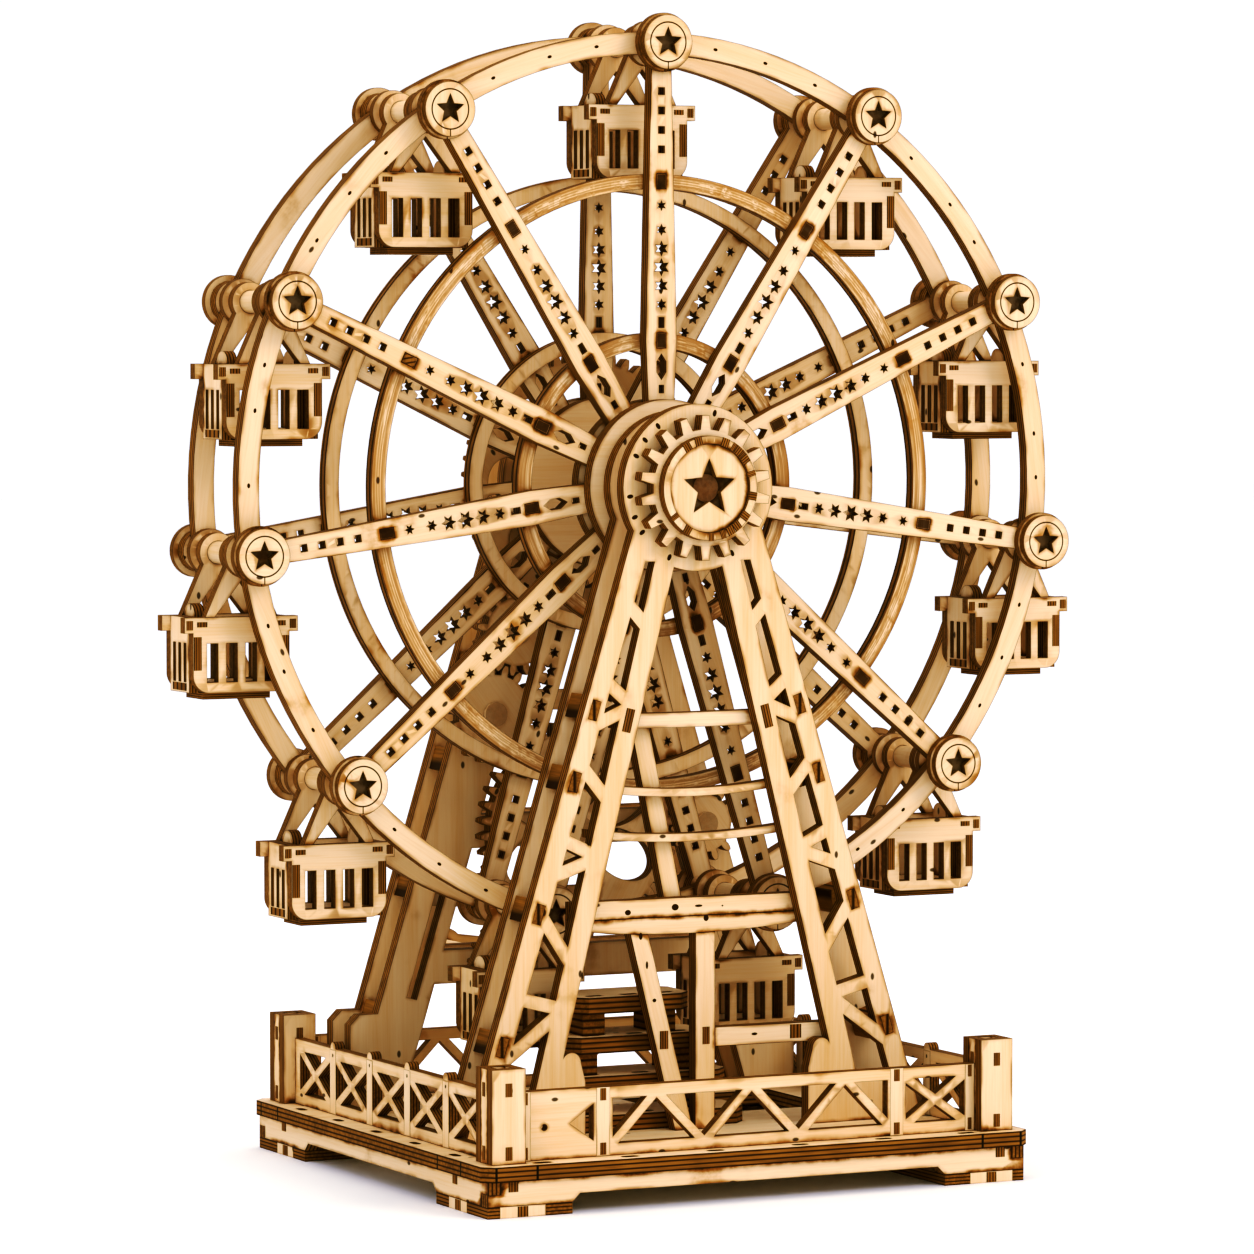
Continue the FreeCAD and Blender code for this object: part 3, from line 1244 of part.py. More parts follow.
# ---- the crank
def build_crank(spots):
    x, z = spots["crank_gear"]
    shaft = rod("crank_shaft_rod", crank_shaft_radius, gear_in - head_ply, arm_out, x, z)
    node(shaft, "crank_shaft", on_wheel=True)
    lean = math.radians(-float(crank_rest))
    knob_x = x + crank_reach * math.cos(lean)
    knob_z = z + crank_reach * math.sin(lean)
    eyes = [rod("crank_arm_hub", crank_eye, arm_in, arm_out, x, z),
            rod("crank_arm_tip", crank_eye, arm_in, arm_out, knob_x, knob_z)]
    web = block("crank_arm_web", crank_reach, ply, crank_web, 0.0, arm_in, 0.0)
    offset_x = x - crank_web / 2 * -math.sin(lean)
    offset_z = z - crank_web / 2 * math.cos(lean)
    put(web, offset_x, arm_in, offset_z, axis=(0, 1, 0), angle=float(crank_rest))
    blank = fuse("crank_arm_blank", eyes + [web])
    holes = fuse("crank_arm_holes", [
        rod("crank_arm_bore", crank_shaft_radius + glue_gap, arm_in - 1.0, arm_out + 1.0, x, z),
        rod("crank_arm_pin_bore", dowel_radius + glue_gap, arm_in - 1.0, arm_out + 1.0, knob_x, knob_z)])
    node(cut("crank_arm_plate", blank, holes), "crank_arm", on_wheel=True)
    build_knob(knob_x, knob_z)


def build_knob(x, z):
    """Turned knob with a peg that goes into the arm."""
    body = new_body("crank_knob_body")
    sketch = new_sketch(body, "crank_knob_half", "XY_Plane")
    soft = knob_round
    loop(sketch, [(0.0, arm_in), (dowel_radius, arm_in), (dowel_radius, arm_out), (knob_radius, arm_out),
                  (knob_radius, knob_end - soft), (knob_radius - soft, knob_end), (0.0, knob_end)])
    turn = body.newObject("PartDesign::Revolution", "crank_knob_turn")
    turn.Profile = sketch
    turn.ReferenceAxis = (plane_of(body, "Y_Axis"), [""])
    turn.Angle = 360
    put(body, x, 0.0, z)
    node(body, "crank_knob", on_wheel=True)


# ---- the wheel
def width_at(radius):
    """Half the spoke's width at a radius, before its cut-outs."""
    if radius <= float(spoke_wide_at):
        share = (radius - float(spoke_root)) / float(spoke_wide_at - spoke_root)
        return (float(spoke_root_width) + share * float(spoke_wide - spoke_root_width)) / 2
    share = (radius - float(spoke_wide_at)) / float(wheel_radius - spoke_wide_at)
    return (float(spoke_wide) + share * float(spoke_tip_width - spoke_wide)) / 2


# Cut-outs of a spoke, as shares of the step from one to the next, and of the lozenge.
SQUARE_SHARE, DIAMOND_SHARE, STAR_SHARES = 0.37, 0.28, (0.31, 0.41, 0.48, 0.41, 0.31)
DOT_WAIST, LOZENGE_SHARE, FOOT_SLOT = 0.5, 0.4, 1.7


def spoke_windows():
    """Cut-outs from the rim to the hub: squares, the hoop's mortise, dots, stars and a lozenge."""
    windows = []
    hoop, small_hoop = float(hoop_radius), float(small_hoop_radius)
    first, last = float(wheel_radius - square_first), hoop + float(square_last)
    pitch = (first - last) / 3
    for step in range(4):
        windows.append(box_points(0.0, first - pitch * step, pitch * SQUARE_SHARE, pitch * SQUARE_SHARE))
    first, last = hoop - float(star_first), small_hoop + float(star_last)
    pitch = (first - last) / 4
    windows.append(star_points(pitch * DIAMOND_SHARE, 6, 0.0, hoop - float(star_first) / 2))
    for step, share in enumerate(STAR_SHARES):
        windows.append(star_points(pitch * share, 6, 0.0, first - pitch * step, waist=DOT_WAIST))
    windows.append(box_points(0.0, small_hoop + float(star_last) / 2, float(pin_width), float(pin_tall)))
    inner = small_hoop - float(spoke_lozenge) * 2
    half, wide = float(spoke_lozenge), float(spoke_lozenge) * LOZENGE_SHARE
    windows.append([(0.0, inner + half), (wide, inner + wide), (wide, inner - wide), (0.0, inner - half),
                    (-wide, inner - wide), (-wide, inner + wide)])
    windows.append(box_points(0.0, inner - half * FOOT_SLOT, wide, wide * 3 / 2))
    return windows


def mortise_points(radius):
    """The mortise where a hoop's tenon comes through a spoke."""
    return box_points(0.0, float(radius), float(spoke_mortise), float(hoop_width))


def spoke_shape(y_from, y_to):
    """One spoke, pointing up, with a round eye for the cabin dowel."""
    tip = float(wheel_radius)
    root = float(spoke_root)
    wide = float(spoke_wide_at)
    right = [(width_at(root), root), (width_at(wide), wide), (width_at(tip), tip)]
    outline = right + [(-x, z) for x, z in reversed(right)]
    shape = plate(outline, y_from, y_to).fuse(disc(spoke_eye, y_from, y_to, 0.0, tip)).removeSplitter()
    shape = shape.cut(disc(dowel_radius + glue_gap, float(y_from) - 1, float(y_to) + 1, 0.0, tip))
    windows = spoke_windows() + [mortise_points(hoop_radius), mortise_points(small_hoop_radius)]
    return pierced(shape, windows, y_from, y_to)


def build_rings():
    """Front and rear rings: spokes outside, rim arcs and hoops inside."""
    sides = (("front", -spoke_out, -spoke_in, -spoke_in, -rim_in), ("rear", spoke_in, spoke_out, rim_in, spoke_in))
    for side, spoke_low, spoke_high, rim_low, rim_high in sides:
        spoke = made(f"spoke_{side}_one", spoke_shape(spoke_low, spoke_high))
        copies = [turned(f"spoke_{side}_{index + 1}", spoke, spoke_angle(index)) for index in range(spokes)]
        node(group(f"spokes_{side}_set", copies), f"spokes_{side}", on_wheel=True)
        arc = rim_arc(f"rim_{side}", rim_low, rim_high)
        copies = [turned(f"rim_{side}_{index + 1}", arc, spoke_angle(index)) for index in range(spokes)]
        node(group(f"rim_{side}_set", copies), f"rim_{side}", on_wheel=True)
        for size, radius in (("large", hoop_radius), ("small", small_hoop_radius)):
            build_hoop(f"hoop_{side}_{size}", radius, rim_low, rim_high, side)


def rim_arc(name, y_from, y_to):
    """One arc of the rim band, between two dowels, made as a sector of a ring."""
    free = math.degrees(math.asin(float(dowel_radius + glue_gap) / float(wheel_radius)))
    sweep = spoke_angle(1) - 2 * free
    blank = rod(f"{name}_blank", wheel_radius + rim_width / 2, y_from, y_to)
    hollow = rod(f"{name}_hollow", wheel_radius - rim_width / 2, y_from - 1.0, y_to + 1.0)
    blank.Angle = sweep
    # A sector begins at +X and runs clockwise, so a quarter turn back starts it at the top dowel.
    whole = cut(f"{name}_sector", blank, hollow)
    return put(whole, axis=(0, 1, 0), angle=free - 90.0)


def build_hoop(label, radius, y_from, y_to, side):
    """A hoop against the spokes, with a tenon into each spoke's mortise."""
    ring = disc(radius + hoop_width / 2, y_from, y_to).cut(disc(radius - hoop_width / 2, y_from - 1, y_to + 1))
    fit = 2 * float(glue_gap)
    tenon = box_points(0.0, float(radius), float(spoke_mortise) - fit, float(hoop_width) - fit)
    tenon_low, tenon_high = (-spoke_out, -spoke_in) if side == "front" else (spoke_in, spoke_out)
    pieces = [ring]
    for index in range(spokes):
        piece = plate(tenon, tenon_low, tenon_high)
        piece.rotate(Vector(0, 0, 0), Vector(0, 1, 0), spoke_angle(index))
        pieces.append(piece)
    shape = pieces[0].multiFuse(pieces[1:]).removeSplitter()
    node(made(f"{label}_ring", shape), label, on_wheel=True)


def build_dowels():
    """Cabin dowels with plain discs, and the star discs on their front ends."""
    dowel = rod("dowel_one", dowel_radius, -spoke_out, spoke_out + veneer)
    bore = dowel_radius + glue_gap
    plain = group("dowel_discs_one", [
        washer_disc("disc_inner_front", collar_radius, bore, -rim_in, -rim_in + veneer),
        washer_disc("disc_inner_rear", collar_radius, bore, rim_in - veneer, rim_in),
        washer_disc("disc_outer_rear", collar_radius + veneer / 2, bore, spoke_out, spoke_out + veneer)])
    backing = rod("backing_one", backing_radius, -spoke_out - veneer, -spoke_out)
    star_face = disc(star_disc_radius, -disc_out, -disc_out + veneer)
    star = made("star_one", pierced(star_face, [star_points(float(star_radius))], -disc_out, -disc_out + veneer))
    stars = group("star_pair_one", [backing, star])
    for label, piece in (("cabin_dowels", dowel), ("dowel_discs", plain), ("star_discs", stars)):
        copies = []
        for index in range(spokes):
            x, z = rim_point(index)
            copies.append(seat_at(f"{label}_{index + 1}", piece, x, z))
        node(group(f"{label}_set", copies), label, on_wheel=True)


def build_hub():
    bore = axle_radius + glue_gap
    axle = rod("axle_rod", axle_radius, -hub_gear_out, rear_out + running_gap + veneer)
    node(axle, "wheel_axle", on_wheel=True)
    discs = [
        washer_disc("hub_front_outer", hub_radius, bore, -hub_out, -spoke_out),
        washer_disc("hub_front_core", spoke_root - glue_gap, bore, -spoke_out, -spoke_in),
        washer_disc("hub_front_inner", hub_radius, bore, -spoke_in, -rim_in),
        washer_disc("hub_rear_inner", hub_radius, bore, rim_in, spoke_in),
        washer_disc("hub_rear_core", spoke_root - glue_gap, bore, spoke_in, spoke_out),
        washer_disc("hub_rear_outer", hub_radius, bore, spoke_out, hub_out),
        washer_disc("hub_gear_washer", hub_washer_radius, bore, hub_out, gear_in),
        washer_disc("axle_retainer", retainer_radius, bore, rear_out + running_gap, rear_out + running_gap + veneer),
    ]
    node(group("hub_disc_set", discs), "hub_discs", on_wheel=True)
    build_hub_gear()
    build_star_cap()


# Widths of a hub gear tooth at its foot and its head, as shares of half its pitch.
TOOTH_FOOT, TOOTH_HEAD = 1.16, 0.66


def build_hub_gear():
    """Hub gear: a round blank with one tooth, patterned round it."""
    body = new_body("hub_gear_body")
    root = hub_tip_radius - hub_tooth
    sketch = new_sketch(body, "hub_gear_blank", "XZ_Plane", lift=hub_gear_in)
    circle(sketch, root)
    circle(sketch, axle_radius + glue_gap)
    pad(body, sketch, ply, "hub_gear_disc")
    tooth = new_sketch(body, "hub_gear_tooth", "XZ_Plane", lift=hub_gear_in)
    arc = math.pi / float(hub_teeth)
    foot = root * (math.sin(arc) * TOOTH_FOOT)
    head = hub_tip_radius * (math.sin(arc) * TOOTH_HEAD)
    sunk = root - ply / 2
    loop(tooth, [(-foot / 2, sunk), (foot / 2, sunk), (foot / 2, root), (head / 2, hub_tip_radius),
                 (-head / 2, hub_tip_radius), (-foot / 2, root)])
    one = pad(body, tooth, ply, "hub_gear_one_tooth")
    doc.recompute()
    ring = body.newObject("PartDesign::PolarPattern", "hub_gear_teeth")
    ring.Originals = [one]
    ring.Axis = (plane_of(body, "Y_Axis"), [""])
    ring.Angle = 360
    ring.setExpression("Occurrences", hub_teeth.text)
    body.Tip = ring
    node(body, "hub_gear", on_wheel=True)


def build_star_cap():
    """Cap ring and star disc on the face of the hub gear."""
    cap_face = hub_gear_out + veneer
    ring_face = hub_gear_out + thin_ply
    inner = cap_radius - cap_rim
    ring = washer_disc("cap_ring", cap_radius, inner, -ring_face, -hub_gear_out)
    face = disc(inner - glue_gap, -cap_face, -hub_gear_out)
    star = star_points(float(cap_star_radius))
    cap = made("cap_star", pierced(face, [star], -cap_face, -hub_gear_out))
    node(group("star_cap_set", [ring, cap]), "star_cap", on_wheel=True)


# ---- the cabins
def build_cabin_pieces():
    """One cabin below a dowel at the origin, as separate boards."""
    panel = cabin_panel()
    depth_half = cabin_depth / 2
    inside = depth_half - thin_ply
    front = put(group("cabin_front", [panel]), 0.0, -depth_half, 0.0)
    back = put(group("cabin_back", [panel]), 0.0, inside, 0.0)
    end = cabin_end()
    half = cabin_length / 2
    left = put(group("cabin_end_left", [end]), -half, 0.0, 0.0)
    right = put(group("cabin_end_right", [end]), half - thin_ply, 0.0, 0.0)
    bottom = -(cabin_drop + cabin_tall)
    floor_half = half - thin_ply
    floor = block("cabin_floor", floor_half * 2, inside * 2, thin_ply, -floor_half, -inside, bottom)
    step = block("cabin_step", floor_half * 2 - thin_ply, inside * 2 - thin_ply / 2, step_board,
                 thin_ply / 2 - floor_half, thin_ply / 4 - inside, bottom - step_board)
    hanger = cabin_hanger()
    hang_front = put(group("cabin_hanger_front", [hanger]), 0.0, -depth_half, 0.0)
    hang_back = put(group("cabin_hanger_back", [hanger]), 0.0, inside, 0.0)
    seat = cabin_seat()
    seat_left = put(group("cabin_seat_left", [seat]), -floor_half, 0.0, 0.0)
    seat_right = put(group("cabin_seat_right", [seat]), floor_half - thin_ply, 0.0, 0.0)
    return [front, back, left, right, floor, step, hang_front, hang_back, seat_left, seat_right]


# Two lengths are the same where they differ by less than this.
NEAR = 0.01


def cabin_panel():
    """Front panel: rim band with tabs, rounded lower corners and four slots."""
    body = new_body("cabin_panel")
    sketch = new_sketch(body, "cabin_panel_outline", "XZ_Plane")
    half = cabin_length / 2
    wide = half + cabin_tab
    top = -cabin_drop
    band = top - cabin_band
    low = top - cabin_tall
    loop(sketch, [(-wide, top), (-wide, band), (-half, band), (-half, low), (half, low), (half, band),
                  (wide, band), (wide, top)])
    middle = (band + low) / 2
    for step in (-1.5, -0.5, 0.5, 1.5):
        window(sketch, slot_pitch * step, middle, slot_width, slot_tall)
    board = pad(body, sketch, thin_ply, "cabin_panel_board")
    board.Reversed = True
    doc.recompute()
    lower = []
    for number, edge in enumerate(board.Shape.Edges):
        box = edge.BoundBox
        upright = box.YLength > float(thin_ply) - NEAR and box.XLength < NEAR and box.ZLength < NEAR
        if upright and abs(box.ZMin - float(low)) < NEAR:
            lower.append(f"Edge{number + 1}")
    corners = body.newObject("PartDesign::Fillet", "cabin_panel_corners")
    corners.Base = (board, lower)
    corners.setExpression("Radius", cabin_corner.text)
    body.Tip = corners
    return body


def cabin_end():
    """End panel with three narrow slots, between the front and back panels."""
    body = new_body("cabin_end_panel")
    sketch = new_sketch(body, "cabin_end_outline", "YZ_Plane")
    half = cabin_depth / 2 - thin_ply
    top = -cabin_drop
    low = top - cabin_tall
    loop(sketch, [(-half, low), (half, low), (half, top), (-half, top)])
    middle = (top - cabin_band + low) / 2
    for step in (-1.0, 0.0, 1.0):
        window(sketch, end_slot_pitch * step, middle, end_slot_width, slot_tall)
    pad(body, sketch, thin_ply, "cabin_end_board")
    return body


# Where the two legs of a hanger part, as a share of its height from the eye.
HANGER_FORK = 0.417


def cabin_hanger():
    """A-shaped hanger: an eye on the dowel and two legs that stand on the rim."""
    top = -cabin_drop
    foot, leg = hanger_foot, hanger_leg
    body = new_body("cabin_hanger")
    sketch = new_sketch(body, "cabin_hanger_legs", "XZ_Plane")
    loop(sketch, [(-foot - leg / 2, top), (-leg, 0.0), (leg, 0.0), (foot + leg / 2, top), (foot - leg / 2, top),
                  (0.0, top * HANGER_FORK), (leg / 2 - foot, top)])
    legs = pad(body, sketch, thin_ply, "cabin_hanger_board")
    legs.Reversed = True
    eye = new_sketch(body, "cabin_hanger_eye", "XZ_Plane")
    circle(eye, hanger_eye)
    round_eye = pad(body, eye, thin_ply, "cabin_hanger_round")
    round_eye.Reversed = True
    hole = new_sketch(body, "cabin_hanger_hole", "XZ_Plane")
    circle(hole, dowel_radius + running_gap)
    pocket_through(body, hole, "cabin_hanger_bore")
    return body


def cabin_seat():
    """Seat back with a round head above the rim."""
    body = new_body("cabin_seat")
    sketch = new_sketch(body, "cabin_seat_outline", "YZ_Plane")
    low = thin_ply - cabin_drop - cabin_tall
    half = seat_width / 2
    loop(sketch, [(-half, low), (half, low), (half, low + seat_tall), (-half, low + seat_tall)])
    board = pad(body, sketch, thin_ply, "cabin_seat_board")
    doc.recompute()
    upper = []
    for number, edge in enumerate(board.Shape.Edges):
        box = edge.BoundBox
        level = box.XLength > float(thin_ply) - NEAR and box.YLength < NEAR
        if level and abs(box.ZMax - float(low + seat_tall)) < NEAR:
            upper.append(f"Edge{number + 1}")
    head = body.newObject("PartDesign::Fillet", "cabin_seat_head")
    head.Base = (board, upper)
    head.setExpression("Radius", seat_round.text)
    body.Tip = head
    return body


def build_cabins():
    pieces = build_cabin_pieces()
    for index in range(spokes):
        x, z = rim_point(index)
        cabin = put(group(f"cabin_{index + 1:02d}_pieces", pieces), x, 0.0, z)
        node(cabin, f"cabin_{index + 1:02d}", on_wheel=True)


build_deck()
build_skirts()
build_foot_pads()
build_towers()
build_fences()
build_stair()
build_front_frame()
build_cross_beam()
gear_places = build_gears()
build_spindles(gear_places)
build_rear_frame(gear_places)
build_crank(gear_places)
build_hub()
build_rings()
build_dowels()
build_cabins()

doc.recompute()
for thing in doc.Objects:
    if "Invalid" in thing.State or "Error" in thing.State:
        raise RuntimeError(f"{thing.Name} failed: {thing.State}")
for thing in nodes:
    if thing.Shape.isNull() or not thing.Shape.isValid():
        raise RuntimeError(f"{thing.Label} has no valid shape")
for thing in nodes:
    thing.Shape.exportStep(f"parts/{thing.Label}.step")
print(len(nodes), "nodes")
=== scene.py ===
import json
import math

import bmesh
import bpy
import numpy as np
from mathutils import Matrix, Vector
from mathutils.bvhtree import BVHTree


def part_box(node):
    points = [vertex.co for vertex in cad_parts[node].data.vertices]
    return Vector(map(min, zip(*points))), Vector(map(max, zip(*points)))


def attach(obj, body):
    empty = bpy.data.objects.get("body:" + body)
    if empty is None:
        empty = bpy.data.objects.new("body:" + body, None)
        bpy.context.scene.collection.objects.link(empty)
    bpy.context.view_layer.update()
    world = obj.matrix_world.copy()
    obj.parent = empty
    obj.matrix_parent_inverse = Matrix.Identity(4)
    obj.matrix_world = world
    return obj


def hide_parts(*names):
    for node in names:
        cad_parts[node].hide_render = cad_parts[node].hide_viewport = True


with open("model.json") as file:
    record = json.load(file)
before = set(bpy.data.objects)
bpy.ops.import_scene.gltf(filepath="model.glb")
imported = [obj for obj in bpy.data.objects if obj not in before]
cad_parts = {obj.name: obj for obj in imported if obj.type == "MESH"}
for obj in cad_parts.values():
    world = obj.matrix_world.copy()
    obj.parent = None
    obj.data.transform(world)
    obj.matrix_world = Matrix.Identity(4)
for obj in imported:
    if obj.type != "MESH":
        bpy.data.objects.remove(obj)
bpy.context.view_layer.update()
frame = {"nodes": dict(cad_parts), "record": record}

# ---- Deck plate
# The plate that everything stands on, cut by laser from laminated birch plywood.
# Its faces stay pale, and the beam leaves its edge charred, with the layers in lines.


class Value:
    """A socket of a material's nodes that sums can be done with."""

    def __init__(self, tree, socket=None):
        self.tree, self.socket = tree, socket

    def made(self, kind, settings, values, output=0):
        """A new node: its settings first, then the values or the links of its sockets."""
        new = self.tree.nodes.new(kind)
        for key, setting in settings.items():
            if key == "stops":
                while len(new.color_ramp.elements) < len(setting):
                    new.color_ramp.elements.new(1.0)
                for stop, (place, colour) in zip(new.color_ramp.elements, setting):
                    stop.position, stop.color = place, (*colour, 1.0)
            else:
                setattr(new, key, setting)
        for key, value in values.items():
            if isinstance(value, Value):
                self.tree.links.new(value.socket, new.inputs[key])
            else:
                new.inputs[key].default_value = value
        return Value(self.tree, new.outputs[output])

    def sum(self, operation, first, second):
        """One Math node on two numbers."""
        return self.made("ShaderNodeMath", {"operation": operation}, {0: first, 1: second})

    def __add__(self, other):
        return self.sum("ADD", self, other)

    def __radd__(self, other):
        return self.sum("ADD", other, self)

    def __sub__(self, other):
        return self.sum("SUBTRACT", self, other)

    def __rsub__(self, other):
        return self.sum("SUBTRACT", other, self)

    def __mul__(self, other):
        return self.sum("MULTIPLY", self, other)

    def __rmul__(self, other):
        return self.sum("MULTIPLY", other, self)

    def size(self):
        """This value without its sign."""
        return self.made("ShaderNodeMath", {"operation": "ABSOLUTE"}, {0: self})

    def attribute(self, title, output=2):
        """A layer of the mesh: output 2 gives its number and output 1 its vector."""
        return self.made("ShaderNodeAttribute", {"attribute_name": title}, {}, output)

    def stretched(self, scale):
        """This place with each of its axes scaled by its own amount."""
        return self.made("ShaderNodeVectorMath", {"operation": "MULTIPLY"}, {0: self, 1: scale})

    def noise(self, scale, detail=2.0, rough=0.5):
        """Soft noise over this place."""
        return self.made("ShaderNodeTexNoise", {"noise_dimensions": "3D"},
                         {"Vector": self, "Scale": scale, "Detail": detail, "Roughness": rough})

    def eased(self, low, high, to_low=0.0, to_high=1.0):
        """0 under low, 1 over high and a smooth step between them."""
        return self.made("ShaderNodeMapRange", {"interpolation_type": "SMOOTHSTEP", "clamp": True},
                         {0: self, 1: low, 2: high, 3: to_low, 4: to_high})

    def tint(self, under, over):
        """One colour over another, where this mask is 1."""
        colours = {}
        for key, colour in ((6, under), (7, over)):
            colours[key] = colour if isinstance(colour, Value) else (*colour, 1.0)
        return self.made("ShaderNodeMix", {"data_type": "RGBA"}, {0: self, **colours}, 2)


# How often each pattern of the wood changes in a metre, along, across and through the board.
FIBRES, BANDS = (60.0, 1900.0, 1900.0), (11.0, 210.0, 210.0)
STREAKS, KNOTS = (40.0, 900.0, 900.0), (26.0, 48.0, 0.0)
# How strong the loose clouds of smoke are.
DRIFT = 0.6
SEAM_DARK = (0.008, 0.003, 0.001)


def cut_birch(name, pale, warm, smoke_and_shade, char_and_shade, line, groove=None, plies=None, seams=()):
    """Laser-cut birch plywood: pale grained faces, scorch along each cut, scorch and painted shade at each joint, and
    layered burnt edges.
    groove is the radius of a burnt ring, plies the colour of a bent strip's layers, and seams are axis and place."""
    material = bpy.data.materials.new(name)
    material.use_nodes = True
    tree = material.node_tree
    wood = tree.nodes["Principled BSDF"]
    wood.inputs["Specular IOR Level"].default_value = 0.1
    start = Value(tree)
    cut, edge, joint, layer, tone = (start.attribute(title) for title in ("cut", "edge", "joint", "layer", "tone"))
    grain = start.attribute("grain", 1)
    fibres = grain.stretched(FIBRES).noise(1.0, 3.0, 0.6)
    bands = grain.stretched(BANDS).noise(1.0, 2.0)
    clouds = grain.noise(75.0, 2.0).eased(0.3, 0.7)
    wisps = grain.noise(300.0, 3.0, 0.6).eased(0.25, 0.75)
    # Faces: slow bands of the veneer, fine fibres, a board's own tone and a few small knots.
    aged = bands.eased(0.35, 0.7) * 0.4 + fibres.eased(0.35, 0.75) * 0.28 + tone * 0.25
    face = aged.tint(pale, warm)
    if plies:
        # A bent strip shows its layers along it, as brown streaks round the wheel's middle.
        own = start.attribute("own", 1)
        bent = own.made("ShaderNodeVectorMath", {"operation": "LENGTH"}, {0: own}, 1)
        strips = start.made("ShaderNodeCombineXYZ", {}, {0: bent * 1500.0, 1: bands * 3.0}).noise(1.0, 3.0, 0.6)
        face = (strips.eased(0.36, 0.62) * 0.85).tint(face, plies)
    # Smoke follows a cut and drifts in a few loose clouds, and where boards meet, smoke and painted shade gather.
    along_cut = (edge - clouds * 0.35).eased(-0.15, 1.15, 1.0, 0.0)
    joint_smoke_and_shade = (joint - clouds * 0.8).eased(-0.6, 1.5, 1.0, 0.0)
    drift = grain.noise(60.0, 2.0).eased(0.58, 0.74) * wisps.eased(0.0, 1.0, 0.5, 1.0) * DRIFT
    haze_and_shade = along_cut * clouds.eased(0.0, 1.0, 0.32, 0.72) + joint_smoke_and_shade * wisps.eased(0.0, 1.0, 0.45, 0.85) + drift
    face = haze_and_shade.eased(0.0, 1.3).tint(face, smoke_and_shade)
    # Deeper char follows each cut, and painted deep shade darkens a face nearest another board.
    deep_char_and_shade = along_cut * along_cut * clouds * 0.5 + joint_smoke_and_shade * joint_smoke_and_shade * wisps * 0.8
    face = deep_char_and_shade.eased(0.15, 1.25).tint(face, char_and_shade)
    # A thin burnt line runs along each cut and joint.
    rim = edge.eased(0.04, 0.26, 0.6, 0.0) + joint.eased(0.02, 0.24, 0.7, 0.0)
    knots = start.made("ShaderNodeTexVoronoi", {"voronoi_dimensions": "2D", "feature": "F1"},
                       {"Vector": grain.stretched(KNOTS), "Scale": 1.0, "Randomness": 1.0})
    rim = rim + knots.eased(0.018, 0.036, 0.8, 0.0)
    if groove:
        # A ring is burnt round the middle of a disc, with one seam from it down to the edge.
        own = start.attribute("own", 1)
        out = own.made("ShaderNodeVectorMath", {"operation": "LENGTH"}, {0: own}, 1)
        beside, below = (own.made("ShaderNodeSeparateXYZ", {}, {0: own}, way) for way in (0, 2))
        rim = rim + (out - groove).size().eased(0.0001, 0.0003, 0.9, 0.0)
        rim = rim + beside.size().eased(0.00008, 0.00025, 0.9, 0.0) * below.eased(-groove - 0.0001, -groove, 1.0, 0.0)
    face = rim.eased(0.0, 1.0).tint(face, char_and_shade)
    # Edges: five layers, brown and charred by turns, between charred corners, and streaked along the board.
    layers = layer.made("ShaderNodeValToRGB", {"stops": (
        (0.0, char_and_shade), (0.06, char_and_shade), (0.13, line), (0.26, line), (0.31, char_and_shade), (0.36, char_and_shade), (0.43, line),
        (0.57, line), (0.64, char_and_shade), (0.69, char_and_shade), (0.74, line), (0.87, line), (0.94, char_and_shade), (1.0, char_and_shade))}, {0: layer})
    streaks = grain.stretched(STREAKS).noise(1.0, 3.0, 0.65).eased(0.36, 0.66)
    soot = clouds * 0.22 + streaks * 0.38
    side = soot.tint(layers, char_and_shade)
    for way, place in seams:
        # A seam lies across one axis of the whole board.
        spot = start.made("ShaderNodeTexCoord", {}, {}, 3)
        gap = (start.made("ShaderNodeSeparateXYZ", {}, {0: spot}, way) - place).size()
        side = gap.eased(0.0002, 0.0005, 0.98, 0.0).tint(side, SEAM_DARK)
    tree.links.new(cut.tint(face, side).socket, wood.inputs["Base Color"])
    rough = 0.5 + fibres * 0.12 + cut * 0.16
    tree.links.new(rough.socket, wood.inputs["Roughness"])
    height = fibres * 0.6 + wisps * 0.2
    bump = start.made("ShaderNodeBump", {}, {"Strength": 0.12, "Distance": 0.0004, "Height": height})
    tree.links.new(bump.socket, wood.inputs["Normal"])
    return material


MICROMETRES = 1e6
WELD, SLIVER = 2e-6, 1e-7


def shells(mesh):
    """The board that each face of a CAD mesh belongs to. A board is closed before the next begins."""
    spots = [tuple(round(part * MICROMETRES) for part in vertex.co) for vertex in mesh.vertices]
    unmatched, number, found = set(), 0, []
    for face in mesh.polygons:
        corners = [spots[index] for index in face.vertices]
        for first, second in zip(corners, corners[1:] + corners[:1]):
            if (second, first) in unmatched:
                unmatched.remove((second, first))
            elif first != second:
                unmatched.add((first, second))
        found.append(number)
        if not unmatched:
            number += 1
    return found


def marked(bm):
    """Layers for what the cutting leaves on a board, which the wood's material reads."""
    bm.faces.layers.float.new("cut")
    for title in ("edge", "joint", "layer", "tone"):
        bm.verts.layers.float.new(title)
    for title in ("grain", "own"):
        bm.verts.layers.float_vector.new(title)
    return bm


def lone_boards(node):
    """A copy of each of a node's boards, as a closed mesh of its own."""
    mesh = frame["nodes"][node].data
    numbers, boards = shells(mesh), []
    for number in range(numbers[-1] + 1):
        bm = bmesh.new()
        bm.from_mesh(mesh)
        others = [face for face, owner in zip(bm.faces, numbers) if owner != number]
        bmesh.ops.delete(bm, geom=others, context="FACES")
        bmesh.ops.remove_doubles(bm, verts=bm.verts, dist=WELD)
        bmesh.ops.dissolve_degenerate(bm, dist=SLIVER, edges=bm.edges)
        boards.append(marked(bm))
    return boards


